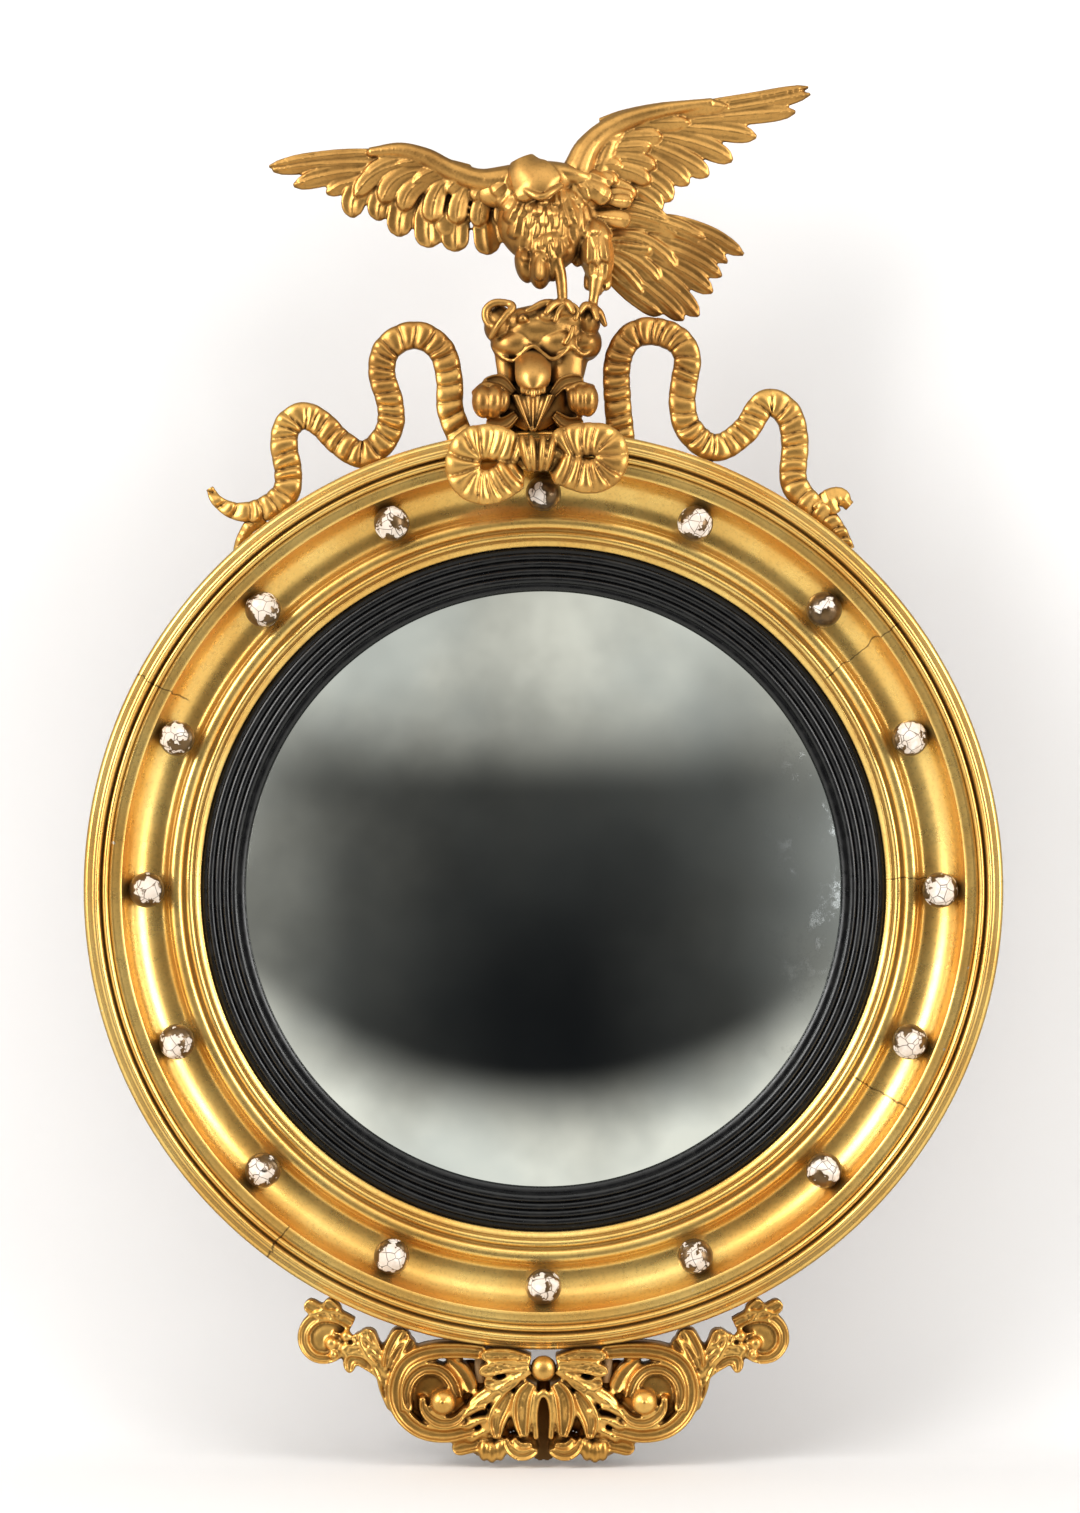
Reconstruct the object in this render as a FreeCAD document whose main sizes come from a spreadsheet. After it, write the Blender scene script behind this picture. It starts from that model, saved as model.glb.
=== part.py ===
import FreeCAD, Part

import math
import os

import Sketcher
from FreeCAD import Placement, Rotation, Vector

# A convex girandole mirror: a turned gilt ring with sixteen balls in its cove, a reeded
# black slip, a domed glass, a carved eagle crest with pleated ribbons, and a carved apron.
#
# Every piece is drawn as it lies face up on the bench: X runs across, Y runs up the wall
# and Z runs out from the wall, with the origin at the centre of the ring's back face.
# Each piece's Placement then hangs it on the wall, so that it faces -Y with +Z upwards.

doc = FreeCAD.newDocument("girandole_mirror")
sheet = doc.addObject("Spreadsheet::Sheet", "Sizes")
sheet_rows = []
pieces = []
HUNG = Placement(Vector(0, 0, 0), Rotation(Vector(1, 0, 0), 90))


def size(alias, number, meaning):
    """Writes one driving size, in mm unless its meaning says otherwise, into the sheet."""
    sheet_rows.append(alias)
    row = len(sheet_rows)
    sheet.set(f"A{row}", meaning)
    sheet.set(f"B{row}", str(number))
    sheet.setAlias(f"B{row}", alias)


# Widths of the gilt moulding's members, from the sight edge outwards.
size("sight_radius", 258.3, "Radius of the sight edge of the gilt moulding")
size("sight_fillet", 4.1, "Bevelled fillet at the sight edge")
size("bead_quirk", 1.8, "Groove inside the sight bead")
size("bead_width", 5.0, "Sight bead")
size("ovolo_quirk", 2.4, "Groove between bead and ovolo")
size("ovolo_width", 10.0, "Ovolo")
size("scoop_lead", 1.1, "Step from ovolo into the cove")
size("scoop_width", 6.8, "Inner scoop of the cove")
size("cove_radius", 25.5, "Radius of the main cove, which holds the balls")
size("fillet_width", 2.3, "Flat fillet outside the cove")
size("slope_width", 6.7, "Sloping band")
size("torus_quirk", 0.9, "Groove inside the first torus")
size("inner_torus", 4.5, "First torus")
size("torus_gap", 1.4, "Groove between the two toruses")
size("outer_torus", 4.6, "Second torus, the foremost member")
size("edge_quirk", 1.4, "Groove outside the second torus")
size("edge_hollow", 4.2, "Hollow on the outer edge")
size("edge_bead", 4.0, "How far the outermost bead stands out from the hollow")

# Depths of the ring, from the wall outwards.
size("backing_depth", 22.0, "Thickness of the backing ring")
size("rabbet_depth", 12.0, "Rabbet that holds the slip, behind the lip")
size("lip_thickness", 3.5, "Thickness of the lip at the sight edge")
size("fillet_rise", 3.0, "Rise of the sight fillet")
size("quirk_depth", 1.2, "Depth of the small grooves")
size("bead_rise", 2.4, "Rise of the sight bead")
size("ovolo_rise", 3.6, "Rise of the ovolo")
size("cove_floor", 14.0, "Wood left behind the floor of the cove")
size("scoop_rise", 4.0, "Rise of the inner scoop")
size("cove_step", 2.5, "Step from the cove up to its fillet")
size("slope_rise", 2.0, "Rise of the sloping band")
size("torus_rise", 3.6, "Rise of the first torus")
size("rim_rise", 6.0, "Rise of the second torus above the band")
size("side_inset", 6.0, "How far the ring's side lies inside the outermost bead")
size("edge_bead_depth", 28.0, "Centre of the outermost bead, in front of the backing ring")
size("edge_bead_width", 10.0, "Width of the outermost bead, front to back")

# The backing ring and what closes the back.
size("rabbet_width", 6.2, "Width of the rabbet behind the lip")
size("backing_width", 48.0, "Width of the backing ring")
size("backing_setback", 1.0, "How far the backing ring lies inside the gilt ring's side")
size("board_thickness", 8.0, "Thickness of the backboard")
size("board_clearance", 1.0, "Gap around the backboard")
size("board_count", 3, "Number of planks in the backboard")
size("nail_count", 12, "Cut nails that hold the backboard")
size("nail_setback", 12.5, "How far the nails stand outside the rabbet")
size("nail_size", 2.2, "Side of a cut nail")
size("nail_head", 6.0, "Side of a nail's head")
size("nail_bite", 9.0, "How deep a nail goes into the gilt ring")

# The reeded slip and the glass.
size("seat_gap", 0.3, "Glue line or scribed gap where two pieces meet")
size("slip_clearance", 0.5, "Gap between slip and rabbet wall")
size("slip_flat", 4.3, "Flat of the slip that shows inside the sight edge")
size("reed_count", 4, "Number of reeds on the slip")
size("reed_pitch", 5.8, "Pitch of the reeds")
size("reed_rise", 2.6, "Height of a reed")
size("slip_bevel", 5.3, "Inner bevel of the slip")
size("slip_drop", 1.5, "Fall of the inner bevel")
size("slip_edge", 1.5, "Thickness of the slip at its inner edge")
size("glass_lap", 10.0, "How far the slip laps over the glass")
size("glass_clearance", 1.0, "Gap around the edge of the glass")
size("glass_thickness", 3.0, "Thickness of the glass")
size("dome_rise", 35.0, "How far the middle of the glass stands out from its edge")
size("wedge_count", 8, "Packing wedges behind the glass")
size("wedge_width", 20.0, "Width of a packing wedge")
size("wedge_reach", 13.5, "How far a wedge reaches in under the glass")

# The balls in the cove.
size("ball_count", 16, "Number of balls")
size("ball_radius", 13.5, "Radius of a ball")
size("ball_lean", 41.5, "Lean of a ball's seat from the wall's normal, in degrees")
size("brad_size", 1.8, "Side of the brad that pins a ball")
size("brad_bite", 7.0, "How deep a brad goes into wood at either end")

# The two hangers on the back.
size("hanger_angle", 26.0, "Angle of the hangers above the middle, in degrees")
size("hanger_inset", 16.0, "How far the hangers lie inside the backing ring")
size("pivot_height", 3.0, "Height of the loop's pivot above the backboard")
size("strap_width", 14.0, "Width of a strap")
size("strap_length", 40.0, "Length of a strap, from the pivot")
size("strap_thickness", 1.2, "Thickness of a strap")
size("knuckle_wall", 1.1, "Wall of the rolled knuckle")
size("pin_radius", 1.5, "Radius of the loop's pin")
size("pin_clearance", 0.07, "Running clearance of the pin in its knuckle")
size("loop_bar", 3.0, "Width of the loop's bar")
size("loop_thickness", 2.4, "Thickness of the loop's bar")
size("loop_side_gap", 1.0, "Gap between knuckle and loop, each side")
size("loop_drop", 12.0, "Straight length of the loop's sides")
size("screw_head", 3.4, "Radius of a screw's head")
size("screw_shank", 1.7, "Radius of a screw's shank")
size("screw_length", 15.0, "Length of a screw under its head")
size("first_screw", 10.0, "First screw, from the pivot")
size("second_screw", 32.0, "Second screw, from the pivot")

# The carved crest and apron.
size("dowel_radius", 4.0, "Radius of the dowels of crest and apron")
size("dowel_clearance", 0.1, "Gap around a dowel")
size("dowel_depth", 17.0, "Middle of the dowels, in front of the backing ring")
size("dowel_bite", 22.0, "How deep a dowel goes into the ring, from its outermost bead")
size("dowel_length", 48.0, "Length of a dowel")
size("crest_dowel_offset", 20.0, "Crest dowels, each side of the middle")
size("apron_dowel_offset", 48.0, "Apron dowels, each side of the middle")
size("plinth_height", 92.0, "Height of the rockwork under the eagle")
size("plinth_width", 84.0, "Width of the rockwork")
size("plinth_depth", 54.0, "Depth of the rockwork, front to back")
size("ribbon_width", 19.6, "Width of the pleated ribbons")
size("ribbon_back", 26.0, "Back of the ribbons, from the wall")
size("ribbon_thickness", 12.0, "Thickness of the ribbons over a pleat")
size("pleat_pitch", 8.6, "Pitch of the pleats")
size("pleat_depth", 3.0, "Depth of the pleats")
size("bow_thickness", 19.0, "Thickness of the bow")
size("wing_back", 28.0, "Back of the wings, from the wall")
size("wing_thickness", 15.0, "Thickness of a wing over its first row of feathers")
size("feather_relief", 4.0, "Height of a feather's midrib over its edges")
size("tail_back", 22.0, "Back of the tail, from the wall")
size("tail_thickness", 12.0, "Thickness of the tail")
size("apron_back", 30.0, "Back of the apron, from the wall")
size("apron_board", 18.0, "Thickness of the apron's ground")
size("apron_relief", 16.0, "Height of the apron's scrolls above its ground")
size("slot_width", 13.6, "Width of the pierced slot in the apron")
size("boss_radius", 9.8, "Radius of the ball in the middle of the apron")
doc.recompute()


def cell(*names):
    """The sum of some cells, as an expression. A name with a minus sign is taken off."""
    terms = []
    for name in names:
        sign = "-" if name.startswith("-") else "+"
        terms.append(f"{sign} Sizes.{name.lstrip('-')}")
    return " ".join(terms).lstrip("+ ")


def value(expression):
    """What an expression over the sheet comes to now."""
    return float(sheet.evalExpression(expression))


def mm(*names):
    """The sum of some cells, as a number."""
    return value(cell(*names))


# Radii of the gilt moulding's edges and levels of its members, as expressions.
members = [
    "sight_fillet",
    "bead_quirk",
    "bead_width",
    "ovolo_quirk",
    "ovolo_width",
    "scoop_lead",
    "scoop_width",
    "cove_radius",
    "fillet_width",
    "slope_width",
    "torus_quirk",
    "inner_torus",
    "torus_gap",
    "outer_torus",
    "edge_quirk",
    "edge_hollow",
    "edge_bead",
]
outside = {}
for place, member in enumerate(members):
    outside[member] = cell("sight_radius", *members[: place + 1])

ring_radius = outside["edge_bead"]
side_radius = f"{ring_radius} - Sizes.side_inset"
rabbet_radius = cell("sight_radius", "rabbet_width")
backing_radius = f"{side_radius} - Sizes.backing_setback"
backing_bore = f"{backing_radius} - Sizes.backing_width"
lip_level = cell("backing_depth", "rabbet_depth")
sight_level = cell("backing_depth", "rabbet_depth", "lip_thickness")
fillet_level = f"{sight_level} + Sizes.fillet_rise"
floor_level = cell("backing_depth", "cove_floor")
cove_level = f"{floor_level} + Sizes.cove_radius"
band_level = f"{cove_level} + Sizes.cove_step"
torus_level = f"{band_level} + Sizes.slope_rise"
rim_level = f"{torus_level} + Sizes.rim_rise"
edge_bead_level = cell("backing_depth", "edge_bead_depth")
slip_back = cell("backing_depth", "seat_gap")
slip_bore = (
    "Sizes.sight_radius - Sizes.slip_flat - Sizes.reed_count * Sizes.reed_pitch"
    " - Sizes.slip_bevel"
)
slip_edge_level = f"{lip_level} - Sizes.slip_drop - Sizes.slip_edge"
glass_radius = f"{slip_bore} + Sizes.glass_lap"
dome_curve = f"((({glass_radius})^2 + Sizes.dome_rise^2) / (2 * Sizes.dome_rise))"
glass_level = (
    f"{slip_edge_level} - Sizes.seat_gap - Sizes.dome_rise"
    f" + {dome_curve} - sqrt({dome_curve}^2 - ({slip_bore})^2)"
)


def new_body(name):
    """A body that is one piece of the mirror, under the piece's own name."""
    body = doc.addObject("PartDesign::Body", name)
    body.Label = name
    pieces.append(body)
    return body


def new_sketch(body, name, role):
    """A sketch on one of the body's own origin planes."""
    sketch = body.newObject("Sketcher::SketchObject", name)
    plane = [o for o in body.Origin.OriginFeatures if o.Role == role][0]
    sketch.AttachmentSupport = [(plane, "")]
    sketch.MapMode = "FlatFace"
    return sketch


def tie(sketch, kind, geometry, point, expression):
    """Ties one coordinate of a point to an expression, or the point to an axis at zero."""
    if expression == "0":
        axis = -2 if kind == "DistanceX" else -1
        sketch.addConstraint(Sketcher.Constraint("PointOnObject", geometry, point, axis))
        return
    amount = value(expression)
    constraint = Sketcher.Constraint(kind, -1, 1, geometry, point, amount)
    row = sketch.addConstraint(constraint)
    sketch.setExpression(f"Constraints[{row}]", expression)


def draw_outline(sketch, outline):
    """A closed outline of lines and arcs, every point tied to the sheet.

    A point is (across, up). A point that an arc leads to is (across, up, radius, side),
    where side is 1 for a centre to the left of the way there and -1 for one to the right.
    """
    count = len(outline)
    spots = [Vector(value(p[0]), value(p[1]), 0) for p in outline]
    heads = []
    tails = []
    for place, point in enumerate(outline):
        start = spots[place - 1]
        end = spots[place]
        if len(point) == 2:
            row = sketch.addGeometry(Part.LineSegment(start, end), False)
            tails.append((row, 1))
            heads.append((row, 2))
            continue
        radius = value(point[2])
        chord = end - start
        rise = math.sqrt(max(radius**2 - (chord.Length / 2) ** 2, 0))
        left = Vector(-chord.y, chord.x, 0).normalize()
        centre = (start + end) * 0.5 + left * rise * point[3]
        first, last = (start, end) if point[3] > 0 else (end, start)
        angles = [math.atan2(p.y - centre.y, p.x - centre.x) for p in (first, last)]
        circle = Part.Circle(centre, Vector(0, 0, 1), radius)
        row = sketch.addGeometry(Part.ArcOfCircle(circle, angles[0], angles[1]), False)
        tails.append((row, 1 if point[3] > 0 else 2))
        heads.append((row, 2 if point[3] > 0 else 1))
        held = sketch.addConstraint(Sketcher.Constraint("Radius", row, radius))
        sketch.setExpression(f"Constraints[{held}]", point[2])
    for place in range(count):
        following = (place + 1) % count
        joint = Sketcher.Constraint("Coincident", *heads[place], *tails[following])
        sketch.addConstraint(joint)
        tie(sketch, "DistanceX", *heads[place], outline[place][0])
        tie(sketch, "DistanceY", *heads[place], outline[place][1])


def bead(outer, inner, base, rise):
    """A bead across a moulding in three flats, from its outer edge to its inner one."""
    return [
        (outer, base),
        (f"({outer}) * 0.75 + ({inner}) * 0.25", f"{base} + {rise}"),
        (f"({outer}) * 0.25 + ({inner}) * 0.75", f"{base} + {rise}"),
        (inner, base),
    ]


def turned(name, outline, place=HUNG):
    """A piece turned on the lathe about the mirror's own axis."""
    body = new_body(name)
    sketch = new_sketch(body, f"{name}_profile", "XZ_Plane")
    draw_outline(sketch, outline)
    turning = body.newObject("PartDesign::Revolution", f"{name}_turning")
    turning.Profile = sketch
    turning.ReferenceAxis = (sketch, ["V_Axis"])
    turning.Angle = 360
    body.Placement = place
    return body


def bore_dowels(body, name, offset, top):
    """Two dowel holes, up or down into the outer edge of the ring."""
    sketch = new_sketch(body, f"{name}_holes", "XZ_Plane")
    face = f"{ring_radius} + 1"
    sketch.setExpression("AttachmentOffset.Base.z", f"-({face})" if top else face)
    for side in (-1, 1):
        spot = Vector(side * mm(offset), value(cell("backing_depth", "dowel_depth")), 0)
        radius = mm("dowel_radius", "dowel_clearance")
        row = sketch.addGeometry(Part.Circle(spot, Vector(0, 0, 1), radius), False)
        held = sketch.addConstraint(Sketcher.Constraint("Radius", row, radius))
        sketch.setExpression(f"Constraints[{held}]", cell("dowel_radius", "dowel_clearance"))
        sign = "" if side > 0 else "-"
        tie(sketch, "DistanceX", row, 3, f"{sign}Sizes.{offset}")
        tie(sketch, "DistanceY", row, 3, cell("backing_depth", "dowel_depth"))
    pocket = body.newObject("PartDesign::Pocket", f"{name}_bores")
    pocket.Profile = sketch
    pocket.Reversed = top
    pocket.setExpression("Length", "Sizes.dowel_bite + Sizes.seat_gap + 1")
    return pocket


# The backing ring, sawn from pine and glued up, which lies against the wall.
turned(
    "backing_ring",
    [
        (backing_bore, "0"),
        (backing_radius, "0"),
        (backing_radius, "Sizes.backing_depth"),
        (backing_bore, "Sizes.backing_depth"),
    ],
)

# The gilt moulding, turned from a glued-up blank: rabbet, side and bead, two toruses,
# the sloping band, the cove, the ovolo, the sight bead and the fillet at the sight edge.
half_bead = "Sizes.edge_bead_width / 2"
moulding = [
    (rabbet_radius, "Sizes.backing_depth"),
    (side_radius, "Sizes.backing_depth"),
    (side_radius, f"{edge_bead_level} - {half_bead}"),
    (ring_radius, f"{edge_bead_level} - {half_bead} * 0.5"),
    (ring_radius, f"{edge_bead_level} + {half_bead} * 0.5"),
    (outside["edge_hollow"], f"{edge_bead_level} + {half_bead}"),
    (f"{outside['edge_quirk']} + Sizes.edge_hollow * 0.2", f"{torus_level} - Sizes.torus_rise"),
]
moulding += bead(outside["edge_quirk"], outside["torus_gap"], torus_level, "Sizes.rim_rise")
moulding.append((f"{outside['inner_torus']} + Sizes.torus_gap / 2", torus_level))
moulding += bead(
    outside["inner_torus"], outside["torus_quirk"], torus_level, "Sizes.torus_rise"
)
moulding += [
    (f"{outside['slope_width']} + Sizes.torus_quirk / 2", f"{torus_level} - Sizes.quirk_depth"),
    (outside["slope_width"], torus_level),
    (outside["fillet_width"], band_level),
    (outside["cove_radius"], band_level),
    (outside["cove_radius"], cove_level),
    (outside["scoop_width"], floor_level, "Sizes.cove_radius", -1),
    (
        outside["scoop_lead"],
        f"{floor_level} + Sizes.scoop_rise",
        "(Sizes.scoop_width^2 + Sizes.scoop_rise^2) / (2 * Sizes.scoop_rise)",
        -1,
    ),
]
moulding += bead(outside["ovolo_width"], outside["ovolo_quirk"], fillet_level, "Sizes.ovolo_rise")
moulding.append((f"{outside['bead_width']} + Sizes.ovolo_quirk / 2", f"{fillet_level} - Sizes.quirk_depth"))
moulding += bead(outside["bead_width"], outside["bead_quirk"], fillet_level, "Sizes.bead_rise")
moulding += [
    (f"{outside['sight_fillet']} + Sizes.bead_quirk / 2", f"{fillet_level} - Sizes.quirk_depth"),
    (outside["sight_fillet"], fillet_level),
    ("Sizes.sight_radius", sight_level),
    ("Sizes.sight_radius", lip_level),
    (rabbet_radius, lip_level),
]
gilt_ring = turned("gilt_ring", moulding)
doc.recompute()
bore_dowels(gilt_ring, "crest", "crest_dowel_offset", True)
bore_dowels(gilt_ring, "apron", "apron_dowel_offset", False)
doc.recompute()

# The reeded slip, turned and ebonised: its flat lies under the gilt lip, its reeds and
# inner bevel show, and its underside rests on the front of the glass.
slip_outside = f"{rabbet_radius} - Sizes.slip_clearance"
reeds_outside = "Sizes.sight_radius - Sizes.slip_flat"
slip_outline = [
    (f"{glass_radius} + Sizes.glass_clearance", slip_back),
    (slip_outside, slip_back),
    (slip_outside, lip_level),
]
for reed in range(int(mm("reed_count"))):
    outer = f"{reeds_outside} - {reed} * Sizes.reed_pitch"
    inner = f"{outer} - Sizes.reed_pitch"
    slip_outline += bead(outer, inner, lip_level, "Sizes.reed_rise")[:-1]
slip_outline += [
    (f"{slip_bore} + Sizes.slip_bevel", lip_level),
    (slip_bore, f"{lip_level} - Sizes.slip_drop"),
    (slip_bore, slip_edge_level),
    (
        f"{glass_radius} + Sizes.glass_clearance",
        f"{glass_level} + Sizes.seat_gap"
        f" - ({slip_edge_level} - ({glass_level})) * Sizes.glass_clearance / Sizes.glass_lap",
    ),
]
turned("reeded_slip", slip_outline)

# The domed glass: two equal curves, one glass thickness apart.
turned(
    "mirror_glass",
    [
        ("0", f"{glass_level} + Sizes.dome_rise - Sizes.glass_thickness"),
        (glass_radius, f"{glass_level} - Sizes.glass_thickness", dome_curve, -1),
        (glass_radius, glass_level),
        ("0", f"{glass_level} + Sizes.dome_rise", dome_curve, 1),
    ],
)


def part_feature(name, shape):
    """A piece whose shape is worked out here from the sheet's sizes."""
    made = doc.addObject("Part::Feature", name)
    made.Label = name
    made.Shape = shape
    made.Placement = HUNG
    pieces.append(made)
    return made


def box(length, width, height, centre):
    """A box about the middle of its base."""
    corner = centre - Vector(length / 2, width / 2, 0)
    return Part.makeBox(length, width, height, corner)


def rod(start, end, radius):
    """A round rod from one point to another."""
    way = end - start
    return Part.makeCylinder(radius, way.Length, start, way)


def around(shape, angle):
    """A copy of a shape, turned about the mirror's axis by an angle in degrees."""
    return shape.rotated(Vector(0, 0, 0), Vector(0, 0, 1), angle)


# The backboard: planks laid side by side, sawn to a round, in the well of the backing ring.
board_back = mm("backing_depth", "-board_thickness")
board_radius = f"{backing_bore} - Sizes.board_clearance"
round_blank = doc.addObject("Part::Cylinder", "backboard_round")
round_blank.setExpression("Radius", board_radius)
round_blank.setExpression("Height", "Sizes.board_thickness")
round_blank.setExpression("Placement.Base.z", cell("backing_depth", "-board_thickness"))
plank_width = f"2 * ({board_radius}) / Sizes.board_count"
for plank in range(int(mm("board_count"))):
    blank = doc.addObject("Part::Box", f"plank_blank_{plank + 1}")
    blank.setExpression("Length", plank_width)
    blank.setExpression("Width", f"2 * ({board_radius})")
    blank.setExpression("Height", "Sizes.board_thickness")
    blank.setExpression("Placement.Base.x", f"{plank} * {plank_width} - ({board_radius})")
    blank.setExpression("Placement.Base.y", f"-({board_radius})")
    blank.setExpression("Placement.Base.z", cell("backing_depth", "-board_thickness"))
    board = doc.addObject("Part::Common", f"backboard_plank_{plank + 1}")
    board.Base = round_blank
    board.Tool = blank
    board.Label = board.Name
    board.Placement = HUNG
    pieces.append(board)

# Square cut nails through the backboard into the gilt ring.
nail_radius = value(rabbet_radius) + mm("nail_setback")
nail_centre = Vector(nail_radius, 0, board_back)
nail_shank = mm("board_thickness", "nail_bite")
nail = box(mm("nail_size"), mm("nail_size"), nail_shank, nail_centre)
head = box(mm("nail_head"), mm("nail_head"), 1.4, nail_centre - Vector(0, 0, 1.4))
nail_step = 360 / mm("nail_count")
nails = [around(nail.fuse(head), (place + 0.5) * nail_step) for place in range(int(mm("nail_count")))]
part_feature("backboard_nails", Part.makeCompound(nails))

# Pine packing wedges between the glass and the backboard, bevelled to the glass.
glass_edge = value(glass_radius)
wedge_inner = glass_edge - mm("wedge_reach")
curve = value(dome_curve)
edge_back = value(glass_level) - mm("glass_thickness") - mm("seat_gap")
inner_back = edge_back + mm("dome_rise") - curve + math.sqrt(curve**2 - wedge_inner**2)
packing_back = value(slip_back)
half_wedge = mm("wedge_width") / 2
wedge_corners = [
    Vector(wedge_inner, -half_wedge, packing_back),
    Vector(glass_edge, -half_wedge, packing_back),
    Vector(glass_edge, -half_wedge, edge_back - 0.1),
    Vector(wedge_inner, -half_wedge, inner_back - 0.1),
]
wedge_face = Part.Face(Part.makePolygon(wedge_corners + wedge_corners[:1]))
wedge = wedge_face.extrude(Vector(0, mm("wedge_width"), 0))
wedge_step = 360 / mm("wedge_count")
wedges = [around(wedge, (place + 0.5) * wedge_step) for place in range(int(mm("wedge_count")))]
part_feature("packing_wedges", Part.makeCompound(wedges))

# The balls, each seated on the slope of the cove and pinned there by a square brad.
lean = math.radians(mm("ball_lean"))
outward = Vector(math.sin(lean), 0, -math.cos(lean))
cove_centre = Vector(value(outside["scoop_width"]), 0, value(cove_level))
ball_reach = mm("cove_radius", "-ball_radius", "-seat_gap")
ball_centre = cove_centre + outward * ball_reach
ball = Part.makeSphere(mm("ball_radius"), ball_centre)
brad_length = 2 * mm("brad_bite") + mm("seat_gap")
brad = box(mm("brad_size"), mm("brad_size"), brad_length, Vector(0, 0, 0))
brad.rotate(Vector(0, 0, 0), Vector(0, 1, 0), 180 - mm("ball_lean"))
brad.translate(ball_centre + outward * mm("ball_radius", "-brad_bite"))
ball_step = 360 / mm("ball_count")
ball_angles = [90 + place * ball_step for place in range(int(mm("ball_count")))]
part_feature("cove_balls", Part.makeCompound([around(ball, a) for a in ball_angles]))
part_feature("ball_brads", Part.makeCompound([around(brad, a) for a in ball_angles]))


def hanger_place(side):
    """Where a hanger's pivot goes: side 1 is right and -1 left, seen from the front."""
    angle = math.radians(mm("hanger_angle"))
    radius = value(backing_bore) - mm("hanger_inset")
    height = board_back - mm("pivot_height")
    spot = Vector(side * radius * math.cos(angle), radius * math.sin(angle), height)
    return HUNG.multiply(Placement(spot, Rotation(Vector(0, 0, 1), side * mm("hanger_angle"))))


def hanger_strap(name, side):
    """A brass strap, rolled round the loop's pin at its lower end, with two screw holes."""
    body = doc.addObject("Part::Box", f"{name}_plate")
    body.setExpression("Length", "Sizes.strap_width")
    body.setExpression("Width", "Sizes.strap_length")
    body.setExpression("Height", "Sizes.strap_thickness")
    body.setExpression("Placement.Base.x", "-Sizes.strap_width / 2")
    body.setExpression("Placement.Base.z", cell("pivot_height", "-strap_thickness"))
    roll = doc.addObject("Part::Cylinder", f"{name}_roll")
    roll.setExpression("Radius", cell("pin_radius", "pin_clearance", "knuckle_wall"))
    roll.setExpression("Height", "Sizes.strap_width")
    roll.Placement = Placement(Vector(0, 0, 0), Rotation(Vector(0, 1, 0), 90))
    roll.setExpression("Placement.Base.x", "-Sizes.strap_width / 2")
    solid = doc.addObject("Part::MultiFuse", f"{name}_solid")
    solid.Shapes = [body, roll]
    bore = doc.addObject("Part::Cylinder", f"{name}_bore")
    bore.setExpression("Radius", cell("pin_radius", "pin_clearance"))
    bore.setExpression("Height", "Sizes.strap_width + 2")
    bore.Placement = Placement(Vector(0, 0, 0), Rotation(Vector(0, 1, 0), 90))
    bore.setExpression("Placement.Base.x", "-Sizes.strap_width / 2 - 1")
    cutters = [bore]
    for screw in ("first_screw", "second_screw"):
        hole = doc.addObject("Part::Cylinder", f"{name}_{screw}")
        hole.setExpression("Radius", "Sizes.screw_shank + 0.3")
        hole.setExpression("Height", "2 * Sizes.pivot_height")
        hole.setExpression("Placement.Base.y", f"Sizes.{screw}")
        cutters.append(hole)
    holes = doc.addObject("Part::MultiFuse", f"{name}_holes")
    holes.Shapes = cutters
    strap = doc.addObject("Part::Cut", name)
    strap.Label = name
    strap.Base = solid
    strap.Tool = holes
    strap.Placement = hanger_place(side)
    pieces.append(strap)


def hanger_loop(name, side):
    """The loop: a U-shaped bar of flat brass, closed by the round pin it turns on."""
    body = new_body(name)
    inner = "Sizes.strap_width / 2 + Sizes.loop_side_gap"
    outer = f"{inner} + Sizes.loop_bar"
    drop = "-Sizes.loop_drop"
    outline = [
        (outer, "Sizes.pin_radius"),
        (outer, drop),
        ("0", f"{drop} - ({outer})", outer, -1),
        (f"-({outer})", drop, outer, -1),
        (f"-({outer})", "Sizes.pin_radius"),
        (f"-({inner})", "Sizes.pin_radius"),
        (f"-({inner})", drop),
        ("0", f"{drop} - ({inner})", inner, 1),
        (inner, drop, inner, 1),
        (inner, "Sizes.pin_radius"),
    ]
    sketch = new_sketch(body, f"{name}_outline", "XY_Plane")
    draw_outline(sketch, outline)
    bar = body.newObject("PartDesign::Pad", f"{name}_bar")
    bar.Profile = sketch
    bar.Midplane = True
    bar.setExpression("Length", "Sizes.loop_thickness")
    round_sketch = new_sketch(body, f"{name}_round", "YZ_Plane")
    circle = Part.Circle(Vector(0, 0, 0), Vector(0, 0, 1), mm("pin_radius"))
    row = round_sketch.addGeometry(circle, False)
    round_sketch.addConstraint(Sketcher.Constraint("Coincident", row, 3, -1, 1))
    held = round_sketch.addConstraint(Sketcher.Constraint("Radius", row, mm("pin_radius")))
    round_sketch.setExpression(f"Constraints[{held}]", "Sizes.pin_radius")
    pin = body.newObject("PartDesign::Pad", f"{name}_pin")
    pin.Profile = round_sketch
    pin.Midplane = True
    pin.setExpression("Length", f"2 * ({inner}) + Sizes.loop_bar")
    body.Placement = hanger_place(side)


def hanger_screws(side):
    """Two round-headed screws through a strap and the backboard into the gilt ring."""
    screws = []
    strap_face = mm("pivot_height", "-strap_thickness")
    for screw in ("first_screw", "second_screw"):
        foot = Vector(0, mm(screw), strap_face)
        cap = Part.makeCylinder(mm("screw_head"), 1.2, foot - Vector(0, 0, 1.2))
        shank = Part.makeCylinder(mm("screw_shank"), mm("screw_length"), foot)
        turned_screw = cap.fuse(shank)
        turned_screw.Placement = HUNG.inverse().multiply(hanger_place(side))
        screws.append(turned_screw)
    return screws


for side, name in ((-1, "left"), (1, "right")):
    hanger_strap(f"{name}_hanger_strap", side)
    hanger_loop(f"{name}_hanger_loop", side)
part_feature("hanger_screws", Part.makeCompound(hanger_screws(-1) + hanger_screws(1)))
doc.recompute()

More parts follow.
